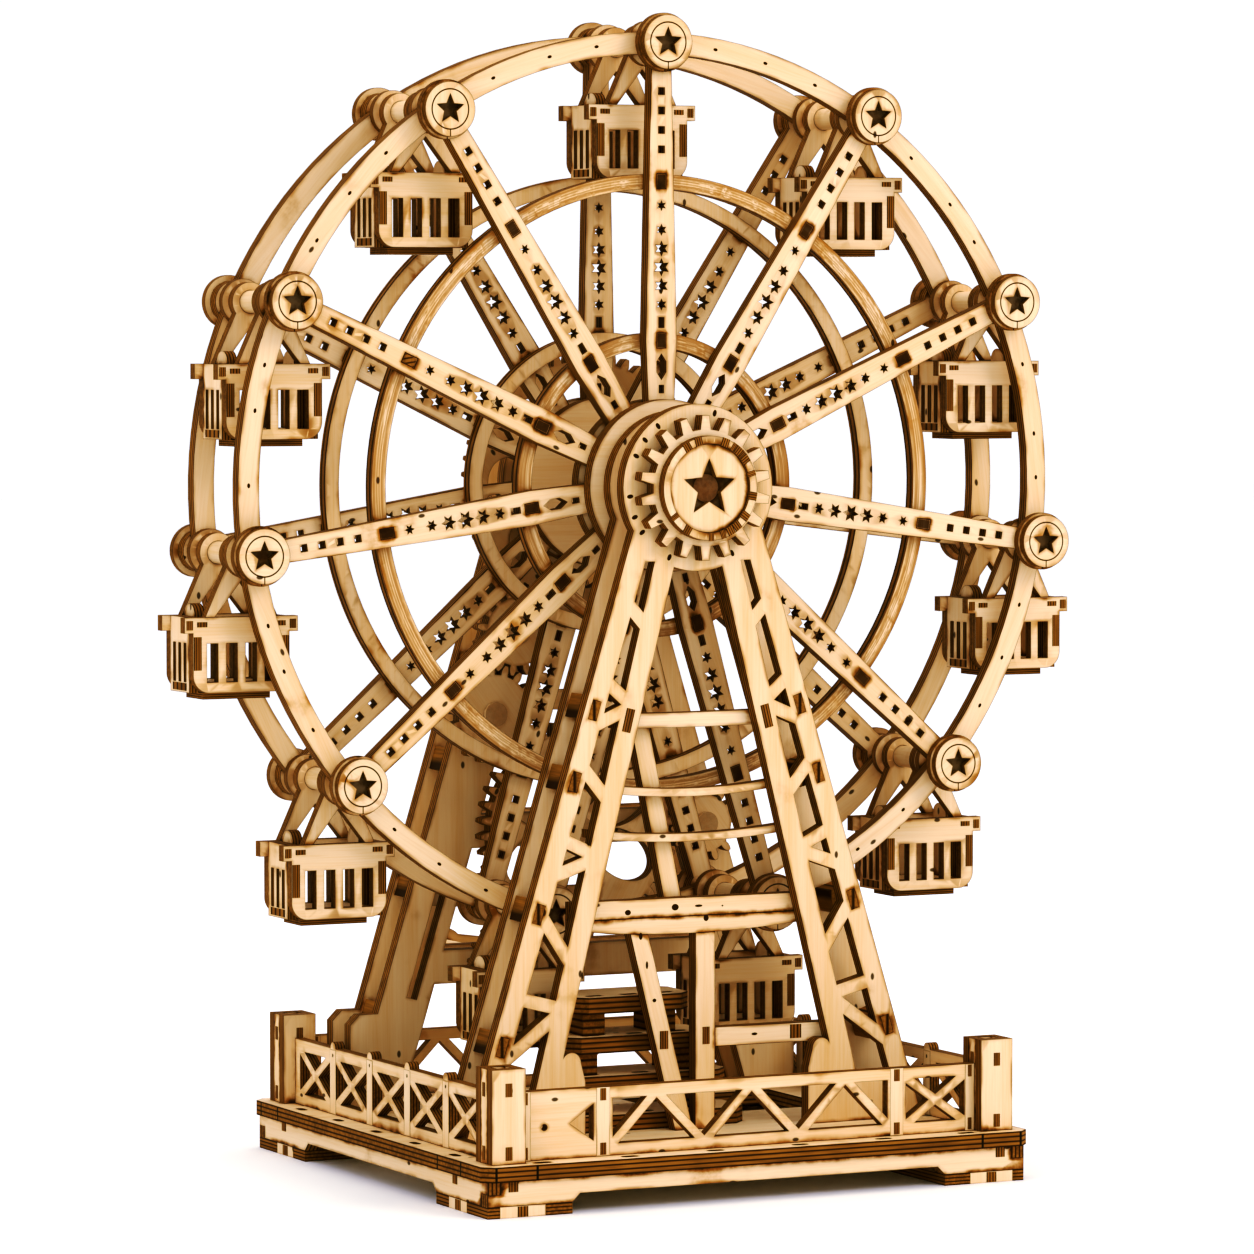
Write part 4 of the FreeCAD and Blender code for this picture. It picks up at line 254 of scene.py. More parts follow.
def long_way(points, normal):
    """The way that a board's grain runs: along its longest direction in its own plane."""
    axis = max(range(3), key=lambda way: abs(normal[way]))
    first, second = [way for way in range(3) if way != axis]
    middle = sum(points, Vector()) / len(points)
    spread = [(point - middle)[first] ** 2 - (point - middle)[second] ** 2 for point in points]
    mixed = [2 * (point - middle)[first] * (point - middle)[second] for point in points]
    angle = math.atan2(sum(mixed), sum(spread)) / 2
    along = Vector()
    along[first], along[second] = math.cos(angle), math.sin(angle)
    return along


MILLIMETRES = 1000
# How far scorch and painted shade reach, and the area under which a board's flat face is only its burnt end.
REACH = 0.0036
SMALL_END = 45e-6
# The burnt line round a flat face, and the squares that the rest of it is cut into, along and across the board.
BURNT_LINE = 0.0003
STEP_ALONG, STEP_ACROSS, STEP_ROUND = 0.0034, 0.0026, 0.0014
# A face is flat when its normal is this near to the sheet's own.
FLAT = 0.98
# How burnt the end of a dowel and of a small board is, and how much sooner the painted shade from the boards a dowel
# meets fades along it.
DOWEL_END, BURNT_END = 0.45, 0.9
DOWEL_SHADE = 1.7
# Each board of a piece gets its own tone, and its own stretch of grain.
TONE_STEP = 0.618
SHIFT_ALONG, SHIFT_ACROSS = 0.31, 0.17
gathered = {}


def neighbours(body):
    """Every triangle of a body's boards: its corners, its normal and its board."""
    if body not in gathered:
        corners, owners = [], []
        for node in frame["record"]["behaviour"]["bodies"][body]:
            mesh = frame["nodes"][node].data
            places = np.empty(len(mesh.vertices) * 3)
            mesh.vertices.foreach_get("co", places)
            order = np.empty(len(mesh.loops), dtype=np.int32)
            mesh.loops.foreach_get("vertex_index", order)
            corners.append(places.reshape(-1, 3)[order.reshape(-1, 3)])
            owners += [f"{node} {number}" for number in shells(mesh)]
        corners = np.concatenate(corners)
        normals = np.cross(corners[:, 1] - corners[:, 0], corners[:, 2] - corners[:, 0])
        normals /= np.maximum(np.linalg.norm(normals, axis=1, keepdims=True), 1e-20)
        gathered[body] = corners, normals, np.array(owners), corners.min(axis=1), corners.max(axis=1)
    return gathered[body]


def nearest_of(corners):
    """A function that gives how far a place is from these triangles, up to the reach of scorch and painted shade."""
    if not len(corners):
        return lambda place: REACH
    tree = BVHTree.FromPolygons(corners.reshape(-1, 3).tolist(), np.arange(3 * len(corners)).reshape(-1, 3).tolist())

    def far(place):
        found = tree.find_nearest(place, REACH)[3]
        return REACH if found is None else found
    return far


def lone_regions(flats):
    """The flat faces in groups that lie together."""
    left, groups = set(flats), []
    while left:
        group, queue = [], [left.pop()]
        while queue:
            face = queue.pop()
            group.append(face)
            for edge in face.edges:
                for other in edge.link_faces:
                    if other in left:
                        left.discard(other)
                        queue.append(other)
        groups.append(group)
    return groups


def chequered(bm, faces, ways):
    """Cuts flat faces along and across the board, so that scorch and painted shade can fade over them."""
    geometry = list(dict.fromkeys(part for face in faces for part in (face, *face.edges, *face.verts)))
    spots = [vert.co.copy() for face in faces for vert in face.verts]
    for way, step in ways:
        low, high = min(spot.dot(way) for spot in spots), max(spot.dot(way) for spot in spots)
        parts = max(1, round((high - low) / step))
        for cut_number in range(1, parts):
            place = way * (low + (high - low) * cut_number / parts)
            geometry = bmesh.ops.bisect_plane(bm, geom=geometry, dist=WELD / 2, plane_co=place, plane_no=way)["geom"]


def cut_sheet(name, node, body, material, sheet=None, seed=0.0, dowel=False, dark=()):
    """Boards with what the cutting left on them, and painted shade where they meet other boards: 'cut' marks an edge
    face, 'edge' and 'joint' are how far a face's point is from a cut and from another board, in millimetres, 'layer'
    goes through the sheet,
    'grain' along, across and through the board, and 'own' starts at the board's middle. sheet is the axis
    that goes through the sheet, and dark lists round hollows that are painted in full shade: the middle's x and z, the
    radius and the front."""
    corners, normals, owners, lows, highs = neighbours(body)
    whole = bmesh.new()
    for number, bm in enumerate(lone_boards(node)):
        cut = bm.faces.layers.float["cut"]
        edge_far, joint_far, layer, tone = (
            bm.verts.layers.float[title] for title in ("edge", "joint", "layer", "tone"))
        grain, own = (bm.verts.layers.float_vector[title] for title in ("grain", "own"))
        points = [vert.co.copy() for vert in bm.verts]
        low = Vector([min(point[way] for point in points) for way in range(3)])
        high = Vector([max(point[way] for point in points) for way in range(3)])
        span, middle = high - low, (low + high) / 2
        way = min(range(3), key=lambda w: span[w]) if sheet is None else sheet
        normal = Vector([float(w == way) for w in range(3)])
        along = long_way(points, normal)
        across = normal.cross(along)
        flats = []
        for face in bm.faces:
            flat = abs(face.normal[way]) > FLAT
            face.smooth = True
            face[cut] = DOWEL_END * flat if dowel else float(not flat)
            if flat and not dowel:
                flats.append(face)
        if dowel:
            chequered(bm, bm.faces, ((normal, STEP_ROUND),))
        walls = {vert for face in bm.faces if face[cut] for vert in face.verts}
        end_verts = set()
        if flats:
            ends = [group for group in lone_regions(flats) if sum(face.calc_area() for face in group) < SMALL_END]
            bmesh.ops.inset_region(bm, faces=flats, thickness=BURNT_LINE, use_even_offset=False)
            for face in (face for group in ends for face in group):
                face[cut] = BURNT_END
                end_verts.update(vert for vert in face.verts if vert not in walls)
            broad = [face for face in flats if not face[cut]]
            if broad:
                chequered(bm, broad, ((along, STEP_ALONG), (across, STEP_ACROSS)))
        mine = owners == f"{node} {number}"
        close = (lows < np.array(high) + REACH).all(axis=1) & (highs > np.array(low) - REACH).all(axis=1)
        from_cut = nearest_of(corners[mine & (abs(normals[:, way]) < FLAT)])
        from_board = nearest_of(corners[close & ~mine])
        for vert in bm.verts:
            place = vert.co
            # Near another board, a face gets scorch and painted shade, which fade over the reach.
            smoke_and_shade_gap = from_board(place)
            # Inside a listed hollow, a face is painted in full shade, however far it is from a board.
            for centre_x, centre_z, radius, behind in dark:
                if place.y > behind:
                    smoke_and_shade_gap = min(smoke_and_shade_gap, max(0.0, math.hypot(place.x - centre_x, place.z - centre_z) - radius))
            vert[joint_far] = MILLIMETRES * smoke_and_shade_gap * (DOWEL_SHADE if dowel else 1.0)
            vert[edge_far] = MILLIMETRES * (REACH if dowel else from_cut(place))
            vert[layer] = 0.5 if dowel or vert in end_verts else (place[way] - low[way]) / span[way]
            vert[tone] = (number + seed) * TONE_STEP % 1.0
            vert[own] = place - middle
            if dowel:
                vert[grain] = Vector((place[way], place.dot(along), place.dot(across)))
            else:
                vert[grain] = Vector((place.dot(along) + SHIFT_ALONG * number + seed,
                                      place.dot(across) + SHIFT_ACROSS * number, place[way]))
        board = bpy.data.meshes.new("board")
        bm.to_mesh(board)
        bm.free()
        whole.from_mesh(board)
        bpy.data.meshes.remove(board)
    piece = finished(whole, name, body, material)
    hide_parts(node)
    return piece


SHARP = math.radians(32)


def finished(bm, name, body, material):
    """A mesh made an object of the scene, with its sharp edges marked."""
    for edge in bm.edges:
        edge.smooth = len(edge.link_faces) == 2 and edge.calc_face_angle(math.pi) < SHARP
    mesh = bpy.data.meshes.new(name)
    bm.to_mesh(mesh)
    bm.free()
    mesh.materials.append(material)
    piece = bpy.data.objects.new(name, mesh)
    bpy.context.scene.collection.objects.link(piece)
    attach(piece, body)
    return piece


# The smoke and char colours also paint the shade where boards meet.
BIRCH = {"pale": (0.87, 0.68, 0.43), "warm": (0.77, 0.50, 0.23), "smoke_and_shade": (0.42, 0.178, 0.028),
         "char_and_shade": (0.036, 0.0105, 0.0014), "line": (0.37, 0.172, 0.032)}
thick_birch = cut_birch("thick_birch", **BIRCH)
# The deck's rim is closed by short blocks near its corners, so a few upright seams show.
deck_birch = cut_birch("deck_birch", **BIRCH, seams=(
    (1, -0.0790), (1, -0.0635), (1, 0.0500), (1, 0.0625), (0, -0.0835), (0, -0.0709), (0, 0.0709), (0, 0.0835)))
cut_sheet("deck_plate", "deck", "stand", deck_birch, sheet=2, seed=0.1)

# ---- Skirts and foot pads
# Boards under the deck, of thick birch plywood, which step down to the feet at each corner.
# Each corner stands on a pad of thinner sheet.

# How proud and how deep a detail is, how wide its burnt edge, and how clear of smoke a tab's middle is.
HAIR, DETAIL_DEEP = 0.00006, 0.0005
TAB_EDGE, PLUG_EDGE = 0.0006, 0.0003
TAB_CLEAR = 1.4
LEFT, RIGHT, FRONT, BACK = Vector((-1, 0, 0)), Vector((1, 0, 0)), Vector((0, -1, 0)), Vector((0, 1, 0))


def add_detail(bm, kind, place, facing, width, height, turn=0.0):
    """A tenon's 'end', a dark plug in a 'pin' hole or a pale 'tab', a hair proud of the face it shows on."""
    cut = bm.faces.layers.float["cut"]
    edge_far, joint_far, layer = (bm.verts.layers.float[title] for title in ("edge", "joint", "layer"))
    grain = bm.verts.layers.float_vector["grain"]
    upward = Matrix.Rotation(turn, 3, facing) @ Vector((0, 0, 1))
    side = upward.cross(facing)
    middle = Vector(place) - facing * (DETAIL_DEEP / 2 - HAIR * (2 if kind == "end" else 1))
    if kind == "pin":
        turned = Matrix((side * width, facing.cross(side) * height, facing * DETAIL_DEEP)).transposed().to_4x4()
        made = bmesh.ops.create_cone(bm, cap_ends=True, segments=14, radius1=0.5, radius2=0.42, depth=1.0,
                                     matrix=Matrix.Translation(middle) @ turned)["verts"]
    else:
        turned = Matrix((side * width, -facing * DETAIL_DEEP, upward * height)).transposed().to_4x4()
        made = bmesh.ops.create_cube(bm, size=1.0, matrix=Matrix.Translation(middle) @ turned)["verts"]
        front = next(face for face in {face for vert in made for face in vert.link_faces}
                     if (face.calc_center_median() - middle).dot(facing) > DETAIL_DEEP * 0.4)
        bmesh.ops.inset_region(bm, faces=[front], thickness=TAB_EDGE if kind == "tab" else PLUG_EDGE,
                               use_even_offset=True)
        made = list({vert for face in {face for vert in made for face in vert.link_faces} for vert in face.verts})
        inner = set(front.verts)
    for vert in made:
        offset = vert.co - middle
        across = offset.dot(side) / width + 0.5
        vert[grain] = Vector((offset.dot(upward) + place[0], offset.dot(side) + place[1], place[2]))
        vert[joint_far] = MILLIMETRES * REACH
        vert[edge_far] = TAB_CLEAR if kind == "tab" and vert in inner else 0.0
        vert[layer] = 0.0 if kind == "pin" else across
    for face in {face for vert in made for face in vert.link_faces}:
        face[cut] = float(kind != "tab" or face is not front and not set(face.verts) & inner)


for side, seed in (("front", 0.2), ("back", 0.3), ("left", 0.4), ("right", 0.5)):
    cut_sheet(f"skirt_board_{side}", f"skirt_{side}", "stand", thick_birch, seed=seed)
cut_sheet("corner_pads", "foot_pads", "stand", thick_birch, sheet=2, seed=0.6)

# Tenons of the deck show under its rim, and a pale tab of each skirt comes down over the pads.
(pad_left, pad_front, _), (pad_right, pad_back, pad_top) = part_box("foot_pads")
skirt_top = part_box("skirt_front")[1][2]
DECK_TENON = (0.0029, 0.0030)
TENON_DOWN, PLUG_SHORT = 0.0015, 0.0003
SIDE_TAB, SIDE_PLUG, FRONT_TAB, FRONT_PLUG = 0.0119, 0.0036, 0.0140, 0.0032
# How far in from the pads' outer faces they stand, on the sides and on the front and back.
TENON_FROM_FRONT, TENON_FROM_BACK, TAB_FROM_END = 0.0215, 0.0185, 0.0195
TENON_FROM_SIDE, TAB_FROM_SIDE = 0.0078, 0.0107
base = marked(bmesh.new())
for facing, x in ((LEFT, pad_left), (RIGHT, pad_right)):
    for y in (pad_front + TENON_FROM_FRONT, pad_back - TENON_FROM_BACK):
        add_detail(base, "end", (x, y, skirt_top - TENON_DOWN), facing, *DECK_TENON)
    for y in (pad_front + TAB_FROM_END, pad_back - TAB_FROM_END):
        add_detail(base, "tab", (x, y, pad_top / 2), facing, SIDE_TAB, pad_top)
        add_detail(base, "end", (x, y, pad_top / 2), facing, SIDE_PLUG, pad_top - PLUG_SHORT)
for facing, y in ((FRONT, pad_front), (BACK, pad_back)):
    for x in (pad_left + TENON_FROM_SIDE, pad_right - TENON_FROM_SIDE):
        add_detail(base, "end", (x, y, skirt_top - TENON_DOWN), facing, *DECK_TENON)
    for x in (pad_left + TAB_FROM_SIDE, pad_right - TAB_FROM_SIDE):
        add_detail(base, "tab", (x, y, pad_top / 2), facing, FRONT_TAB, pad_top)
        add_detail(base, "end", (x, y, pad_top / 2), facing, FRONT_PLUG, pad_top - PLUG_SHORT)
finished(base, "base_tenons", "stand", thick_birch)

# ---- Corner towers
# Square tubes of four thin boards each, which stand on the deck's corners with their ends open.
# A short tenon shows near the head and the foot of each side.

TENON_UNDER_HEAD, TENON_OVER_FOOT = 0.0058, 0.0030
TOWER_SIDE_TENON, TOWER_FRONT_TENON = (0.0016, 0.0039), (0.0020, 0.0037)
thin_birch = cut_birch("thin_birch", **BIRCH)
for side, seed in (("front_left", 0.7), ("front_right", 0.8), ("back_left", 0.9), ("back_right", 1.0)):
    cut_sheet(f"tower_boards_{side}", f"tower_{side}", "stand", thin_birch, seed=seed)
    low, high = (Vector(corner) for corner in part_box(f"tower_{side}"))
    middle = (low + high) / 2
    tenons = marked(bmesh.new())
    for z in (high.z - TENON_UNDER_HEAD, low.z + TENON_OVER_FOOT):
        for facing, x in ((LEFT, low.x), (RIGHT, high.x)):
            add_detail(tenons, "end", (x, middle.y, z), facing, *TOWER_SIDE_TENON)
        for facing, y in ((FRONT, low.y), (BACK, high.y)):
            add_detail(tenons, "end", (middle.x, y, z), facing, *TOWER_FRONT_TENON)
    finished(tenons, f"tower_tenons_{side}", "stand", thin_birch)

# ---- Fences
# One board to a side, cut out into rails, posts and crossed or zigzag braces, of thin birch plywood.
# The long sides' posts are tenoned into both rails, and the short sides' uprights are pinned.

# Posts by how far they stand from the fence's end, their width and the width of their tenons.
END_POST = 0.0017
LONG_POSTS = ((END_POST, 0.0030, 0.0012), (0.0257, 0.0042, 0.0018))
RAIL_MIDDLE, RAIL_TENON = 0.0021, 0.0034
POST_SHORT = 0.0002
SIDE_BAYS, SIDE_POST = 5, 0.0042
UPRIGHT_DOWN, UPRIGHT_SHORT = 0.0011, 0.0024
POST_PIN, PIN_DOWN = (0.0010, 0.0013), 0.0040
for side, seed in (("front", 1.1), ("back", 1.2), ("left", 1.3), ("right", 1.4)):
    cut_sheet(f"fence_board_{side}", f"fence_{side}", "stand", thin_birch, seed=seed)
    low, high = (Vector(corner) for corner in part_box(f"fence_{side}"))
    middle, long_side = (low + high) / 2, side in ("front", "back")
    tenons = marked(bmesh.new())
    if long_side:
        # Posts stand between the crossed bays and the zigzag, and at the ends, tenoned at both rails.
        for facing, y in ((FRONT, low.y), (BACK, high.y)):
            for from_end, post, tenon in LONG_POSTS:
                for x in (low.x + from_end, high.x - from_end):
                    add_detail(tenons, "tab", (x, y, middle.z), facing, post, high.z - low.z - POST_SHORT)
                    for z in (high.z - RAIL_MIDDLE, low.z + RAIL_MIDDLE):
                        add_detail(tenons, "end", (x, y, z), facing, tenon, RAIL_TENON)
    else:
        # A pin goes through the top of each upright.
        for facing, x in ((LEFT, low.x), (RIGHT, high.x)):
            for bay in range(1, SIDE_BAYS):
                y = low.y + END_POST + (high.y - low.y - 2 * END_POST) * bay / SIDE_BAYS
                add_detail(tenons, "tab", (x, y, middle.z - UPRIGHT_DOWN), facing, SIDE_POST,
                           high.z - low.z - UPRIGHT_SHORT)
                add_detail(tenons, "pin", (x, y, high.z - PIN_DOWN), facing, *POST_PIN)
    finished(tenons, f"fence_tenons_{side}", "stand", thin_birch)

# ---- Boarding stair
# Four plates with cut corners and oval holes, on blocks, of thick birch plywood.
# The cut sides are charred, so the stair is dark when it is seen from beside it.

cut_sheet("stair_plates", "boarding_stair", "stand", thick_birch, sheet=2, seed=1.5)

# ---- Front A-frame
# An open truss plate in front and a plain plate behind it, with tenoned spacers between the two.
# The faces stay pale, and the spacers' end grain shows as brown squares.

for label, seed in (("outer", 1.6), ("inner", 1.7)):
    cut_sheet(f"front_plate_{label}", f"front_frame_{label}", "stand", thick_birch, sheet=1, seed=seed)
cut_sheet("front_spacers", "front_frame_spacers", "stand", thick_birch, sheet=0, seed=1.8)

axle_height = (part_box("wheel_axle")[0][2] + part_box("wheel_axle")[1][2]) / 2
frame_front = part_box("front_frame_outer")[0][1]
HEAD_RING, HEAD_PIN = 0.0219, (0.0014, 0.0023)
LEG_OUT, LEG_UP, LEG_LEAN, LEG_TENON = 0.0223, 0.1338, 0.24, (0.0026, 0.0068)


def round_axle(radius, angle, y):
    """A place on a circle round the axle. The angle runs from the top, clockwise as the front sees it."""
    return radius * math.sin(angle), y, axle_height + radius * math.cos(angle)


# Oval pin holes run round the head, outside the hub gear.
head_pins = marked(bmesh.new())
for degrees in (-36, -51, -65, -96, -112, -125, -155, 14, 150):
    angle = math.radians(degrees)
    add_detail(head_pins, "pin", round_axle(HEAD_RING, angle, frame_front), FRONT, *HEAD_PIN, turn=-angle)
# The upper spacers have a second tenon through the inner rail of each leg.
for side in (-1, 1):
    add_detail(head_pins, "end", (side * LEG_OUT, frame_front, LEG_UP), FRONT, *LEG_TENON, turn=side * LEG_LEAN)
finished(head_pins, "head_pins", "stand", thick_birch)

# ---- Cross beam, bars and king post
# Boards across the front frame between its plates, with a leaning plank, a post and a slanted brace.
# They show pins, slits and the plugged ends of mortises.

cut_sheet("beam_and_bars", "cross_beam", "stand", thick_birch, sheet=1, seed=1.9)
cut_sheet("post_and_braces", "king_post_braces", "stand", thick_birch, sheet=1, seed=2.0)

# Pins, slits and mortises of the beam, the post, the brace and the low rail.
beam_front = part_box("cross_beam")[0][1]
post_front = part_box("king_post_braces")[0][1]
beam_pins = marked(bmesh.new())
for kind, x, z, width, height in (("pin", -0.0205, 0.0783, 0.0022, 0.0018), ("pin", -0.0053, 0.0792, 0.0026, 0.0022),
                                  ("pin", 0.0023, 0.0793, 0.0028, 0.0008), ("pin", 0.0100, 0.0790, 0.0006, 0.0005)):
    add_detail(beam_pins, kind, (x, beam_front, z), FRONT, width, height)
for kind, x, z, width, height in (("pin", 0.0047, 0.0757, 0.0019, 0.0022), ("pin", -0.0164, 0.0713, 0.0013, 0.0024),
                                  ("pin", -0.0144, 0.0629, 0.0008, 0.0026), ("pin", -0.0120, 0.0526, 0.0014, 0.0012),
                                  ("end", -0.0089, 0.0410, 0.0026, 0.0052), ("end", 0.0047, 0.0416, 0.0022, 0.0050),
                                  ("pin", 0.0205, 0.0412, 0.0022, 0.0009), ("end", 0.0340, 0.0413, 0.0036, 0.0040)):
    add_detail(beam_pins, kind, (x, post_front, z), FRONT, width, height)
finished(beam_pins, "beam_pins", "stand", thick_birch)

# ---- Rear A-frame
# Two plain plates with spacers and cross rails between them, which carry the gears.
# Plates and rails are thick birch plywood, as in front.

for label, seed in (("inner", 2.1), ("outer", 2.2)):
    cut_sheet(f"rear_plate_{label}", f"rear_frame_{label}", "stand", thick_birch, sheet=1, seed=seed)
cut_sheet("rear_spacers", "rear_frame_spacers", "stand", thick_birch, sheet=0, seed=2.3)
cut_sheet("rear_rails", "rear_cross_rails", "stand", thick_birch, sheet=1, seed=2.4)

# ---- Gear spindles
# Turned beech pins with heads and collars, glued through both rear plates.
# Beech is a little darker than the birch, and only its ends are stained; painted shade darkens it where it meets the
# boards.

turned_beech = cut_birch("turned_beech", pale=(0.85, 0.66, 0.41), warm=(0.70, 0.44, 0.19), smoke_and_shade=(0.38, 0.15, 0.03),
                         char_and_shade=(0.04, 0.012, 0.003), line=(0.30, 0.12, 0.03))
cut_sheet("spindle_pins", "gear_spindles", "stand", turned_beech, sheet=1, seed=2.5, dowel=True)

# ---- Driving gears
# Toothed discs of thick birch plywood with oval windows, four on spindles and the last on the crank's shaft.
# Each tooth's side is a charred cut.

for label, body, seed in (("idler_gear", "idler", 2.6), ("middle_gear", "middle", 2.7), ("main_gear", "main", 2.8),
                          ("counter_gear", "counter", 2.9), ("crank_gear", "crank", 3.0)):
    cut_sheet(f"{label}_disc", label, body, thick_birch, sheet=1, seed=seed)

# ---- Crank
# A turned shaft and knob with a flat arm of thick plywood between them.
# Shaft and knob are beech, and the arm is birch with burnt edges.

cut_sheet("crank_rod", "crank_shaft", "crank", turned_beech, sheet=1, seed=3.1, dowel=True)
cut_sheet("crank_lever", "crank_arm", "crank", thick_birch, sheet=1, seed=3.2)
cut_sheet("crank_handle", "crank_knob", "crank", turned_beech, sheet=1, seed=3.3, dowel=True)

# ---- Wheel axle and hub
# A turned axle, and discs of thick plywood that hold the roots of the spokes between them.
# The badge has a star cut through it, over a hollow painted in full shade, and burnt keys on its ring.

# The hollow behind the star is painted in full shade, however far back.
hub_hollow = ((0.0, axle_height, 0.0095, -1.0),)
cut_sheet("axle_dowel", "wheel_axle", "wheel", turned_beech, sheet=1, seed=3.4, dowel=True,
          dark=hub_hollow)
cut_sheet("hub_plates", "hub_discs", "wheel", thick_birch, sheet=1, seed=3.5)
cut_sheet("hub_cog", "hub_gear", "wheel", thick_birch, sheet=1, seed=3.6, dark=hub_hollow)
cut_sheet("star_badge", "star_cap", "wheel", thick_birch, sheet=1, seed=3.7)
badge_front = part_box("star_cap")[0][1]
KEY_RING, NARROW_KEY, WIDE_KEY, KEY_TALL = 0.01385, 0.0015, 0.0023, 0.0024
ring_keys = marked(bmesh.new())
for degrees in (-32, -16, 20, 33, 40, 47, 54, 73, 100, 126, 142, 152, 163, 179, 212, 235):
    angle = math.radians(degrees)
    add_detail(ring_keys, "end", round_axle(KEY_RING, angle, badge_front), FRONT,
               NARROW_KEY if degrees % 2 else WIDE_KEY, KEY_TALL, turn=-angle)
finished(ring_keys, "ring_keys", "wheel", thick_birch)
cut_sheet("wheel_cog", "wheel_gear", "wheel", thick_birch, sheet=1, seed=3.8)

# ---- Spokes, rims and hoops
# Each ring has eleven tapering spokes with rows of small cut-outs, rim boards from spoke to spoke,
# and a large and a small hoop whose tenons come through the spokes.

SPOKES = 11
bent_birch = cut_birch("bent_birch", **BIRCH, plies=(0.40, 0.19, 0.055))
for label, seed in (("front", 3.9), ("rear", 4.0)):
    cut_sheet(f"spoke_boards_{label}", f"spokes_{label}", "wheel", thick_birch, sheet=1, seed=seed)
    cut_sheet(f"rim_boards_{label}", f"rim_{label}", "wheel", thick_birch, sheet=1, seed=seed + 0.2)
    for size in ("large", "small"):
        cut_sheet(f"hoop_{size}_{label}", f"hoop_{label}_{size}", "wheel",
                  bent_birch if label == "front" else thick_birch, sheet=1, seed=seed + 0.4)

# Each rim board of the front ring has three pin holes along it, a little unevenly.
rim_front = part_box("rim_front")[0][1]
PINS_DOWN, RIM_PIN = 0.0032, (0.0016, 0.0010)
pin_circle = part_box("rim_front")[1][2] - axle_height - PINS_DOWN
rim_pins = marked(bmesh.new())
for board in range(SPOKES):
    for share in (0.27, 0.5 + 0.03 * (board % 3), 0.74 - 0.02 * (board % 2)):
        angle = 2 * math.pi * (board + share) / SPOKES
        add_detail(rim_pins, "pin", round_axle(pin_circle, angle, rim_front), FRONT, *RIM_PIN, turn=-angle)
finished(rim_pins, "rim_pins", "wheel", thick_birch)

# ---- Star discs, collars and cabin dowels
# Each cabin hangs on a turned dowel between the rings. A star disc covers its front end,
# and plain discs are glued on it inside both rings and behind the rear one.

HANGING_RADIUS, GROOVE_RADIUS = 0.128, 0.0058
HOLLOW_RADIUS, COVER_DEEP = 0.0048, 0.0012
star_birch = cut_birch("star_birch", **BIRCH, groove=GROOVE_RADIUS)
cover_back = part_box("star_discs")[0][1] + COVER_DEEP
stars = [round_axle(HANGING_RADIUS, 2 * math.pi * number / SPOKES, cover_back) for number in range(SPOKES)]
# The hollow behind each star's face is painted in full shade.
dark_hollows = [(x, z, HOLLOW_RADIUS, y) for x, y, z in stars]
cut_sheet("star_covers", "star_discs", "wheel", star_birch, sheet=1, seed=4.8, dark=dark_hollows)
cut_sheet("dowel_collars", "dowel_discs", "wheel", thin_birch, sheet=1, seed=4.9)
cut_sheet("hanging_dowels", "cabin_dowels", "wheel", turned_beech, sheet=1, seed=5.0, dowel=True)

# ---- Cabins
# Eleven tubs of thin boards with windows cut in them, each on two A-shaped hangers.
# The boards' tenons show at the corners, on the rim and under the end windows.

CABIN_FLOOR, CABIN_RIM, CABIN_HALF = 0.0020, 0.0192, 0.01475
# The end panels come through at the corners, and the rim's tabs are pinned: each is given by how far it is
# from the cabin's middle and above its floor, and its width and height.
CABIN_TENONS = ((0.0134, 0.0112, 0.0023, 0.0094), (0.0158, CABIN_RIM, 0.0019, 0.0026),
                (0.0120, CABIN_RIM + 0.0002, 0.0030, 0.0014))
FLOOR_TENON_UP, FLOOR_TENON = 0.0016, (0.0100, 0.0021)
for index in range(1, SPOKES + 1):
    cut_sheet(f"cabin_boards_{index:02d}", f"cabin_{index:02d}", f"cabin_{index:02d}", thin_birch,
              seed=5.0 + index * 0.13)
    low, high = (Vector(corner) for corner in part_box(f"cabin_{index:02d}"))
    middle = (low + high) / 2
    floor_z = low.z + CABIN_FLOOR
    joints = marked(bmesh.new())
    for facing, y in ((FRONT, low.y), (BACK, high.y)):
        for side in (-1, 1):
            for out, up, width, height in CABIN_TENONS:
                add_detail(joints, "end", (middle.x + side * out, y, floor_z + up), facing, width, height)
    for facing, x in ((LEFT, middle.x - CABIN_HALF), (RIGHT, middle.x + CABIN_HALF)):
        add_detail(joints, "end", (x, middle.y, floor_z + FLOOR_TENON_UP), facing, *FLOOR_TENON)
    finished(joints, f"cabin_joints_{index:02d}", f"cabin_{index:02d}", thin_birch)

# ---- Floor, light and camera
# A pale floor under a soft studio light, and a long lens that looks from the front, a little to the left.
# The view is developed with a soft contrast curve.

floor_mesh = bmesh.new()
bmesh.ops.create_grid(floor_mesh, x_segments=2, y_segments=2, size=6.0)
floor_data = bpy.data.meshes.new("studio_floor")
floor_mesh.to_mesh(floor_data)
floor_mesh.free()
paper = bpy.data.materials.new("studio_paper")
paper.use_nodes = True
surface = paper.node_tree.nodes["Principled BSDF"]
surface.inputs["Base Color"].default_value = (0.97, 0.97, 0.97, 1.0)
surface.inputs["Roughness"].default_value = 0.9
floor_data.materials.append(paper)
studio_floor = bpy.data.objects.new("studio_floor", floor_data)
bpy.context.scene.collection.objects.link(studio_floor)

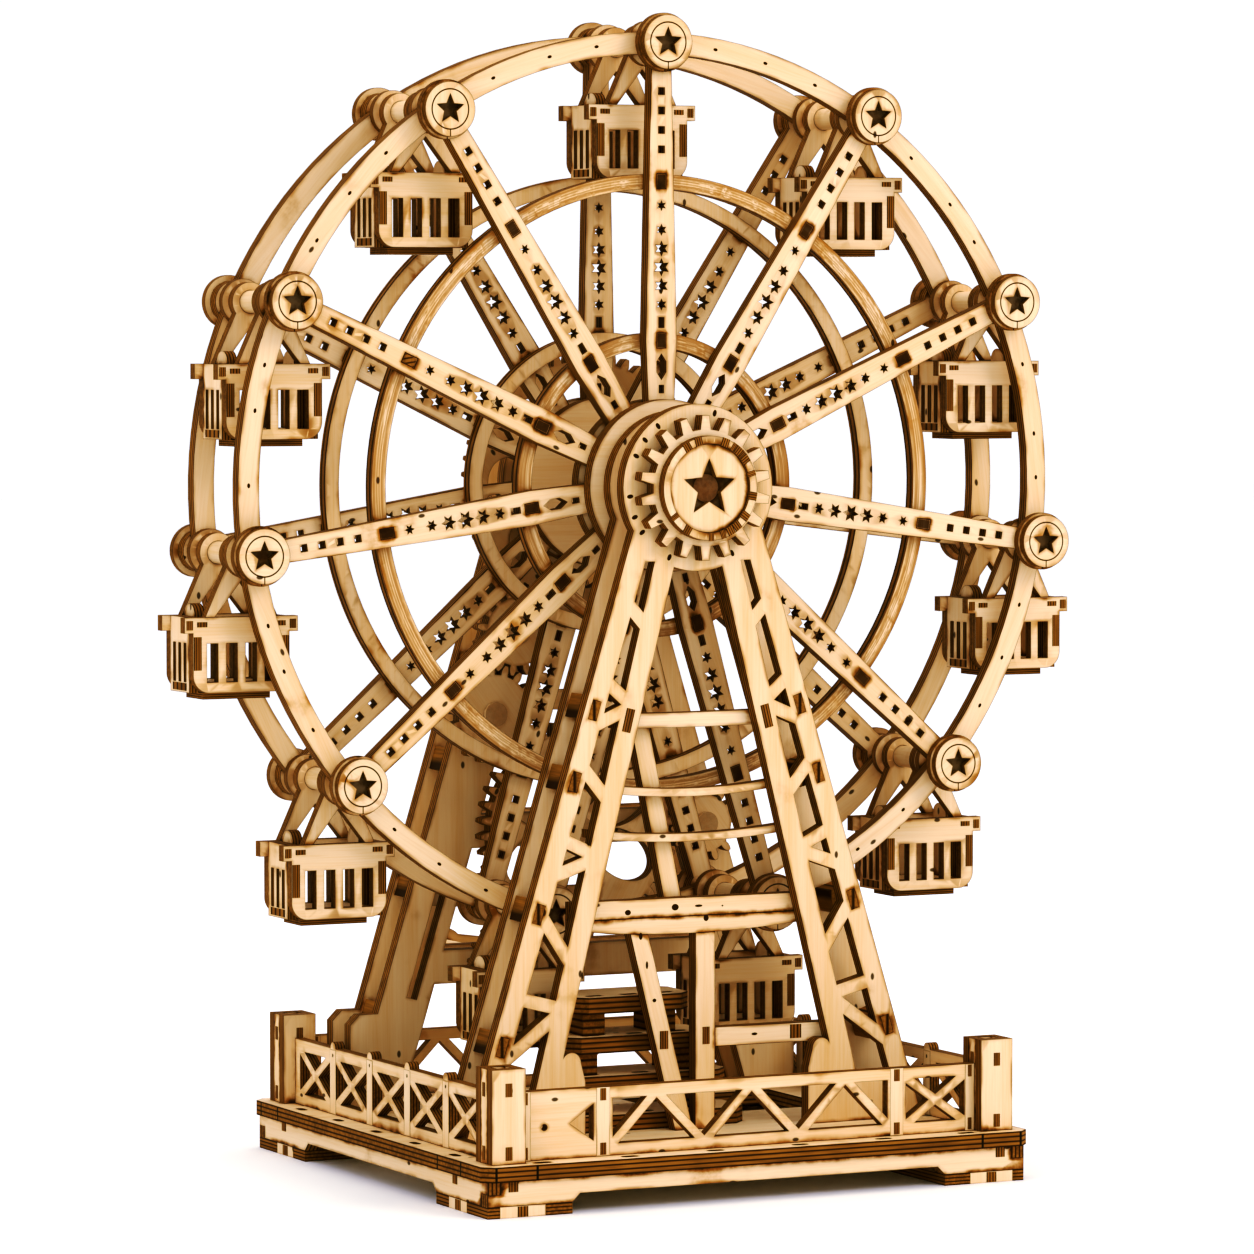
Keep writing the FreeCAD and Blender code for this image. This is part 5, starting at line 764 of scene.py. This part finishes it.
world = bpy.data.worlds.new("studio")
world.use_nodes = True
background = world.node_tree.nodes["Background"]
background.inputs["Color"].default_value = (1.0, 1.0, 1.0, 1.0)
background.inputs["Strength"].default_value = 1.04
bpy.context.scene.world = world


def softbox(name, place, aim, size, power, colour=(1.0, 1.0, 1.0)):
    """A square lamp that looks at a point."""
    lamp = bpy.data.lights.new(name, "AREA")
    lamp.shape, lamp.size, lamp.energy, lamp.color = "SQUARE", size, power, colour
    holder = bpy.data.objects.new(name, lamp)
    holder.location = place
    holder.rotation_euler = (Vector(aim) - Vector(place)).to_track_quat("-Z", "Y").to_euler()
    bpy.context.scene.collection.objects.link(holder)


softbox("key_light", (0.75, -1.35, 1.15), (0.0, 0.0, 0.16), 0.7, 9.0, (1.0, 0.97, 0.93))
softbox("top_light", (-0.2, 0.2, 1.6), (0.0, 0.0, 0.1), 1.2, 7.0)

# The view is square, and this many pixels wide.
FRAME_SIDE = 1254
azimuth, elevation = math.radians(-26.5), math.radians(3.0)
distance, lens_pixels = 1.7712, 6000.0
target = Vector((0.00408, 0.0, 0.15738))
away = Vector((math.sin(azimuth) * math.cos(elevation), -math.cos(azimuth) * math.cos(elevation), math.sin(elevation)))
lens = bpy.data.cameras.new("camera")
lens.sensor_width = 36.0
lens.lens = lens_pixels / FRAME_SIDE * lens.sensor_width
lens.clip_end = 50.0
camera = bpy.data.objects.new("camera", lens)
camera.location = target + away * distance
camera.rotation_euler = (-away).to_track_quat("-Z", "Y").to_euler()
bpy.context.scene.collection.objects.link(camera)
bpy.context.scene.camera = camera

# One curve for all colours, as scene light and the light that is shown for it.
view = bpy.context.scene.view_settings
view.view_transform = "Standard"
view.use_curve_mapping = True
tones, blues = view.curve_mapping.curves[3], view.curve_mapping.curves[2]
for light, shown in ((0.12, 0.045), (0.24, 0.145), (0.42, 0.345), (0.65, 0.60), (0.85, 0.82)):
    tones.points.new(light, shown)
# Blue falls a little in the shadows and rises in the lights, which keeps the wood's shadows warm.
for light, shown in ((0.04, 0.025), (0.12, 0.106), (0.27, 0.285), (0.40, 0.455)):
    blues.points.new(light, shown)
view.curve_mapping.update()
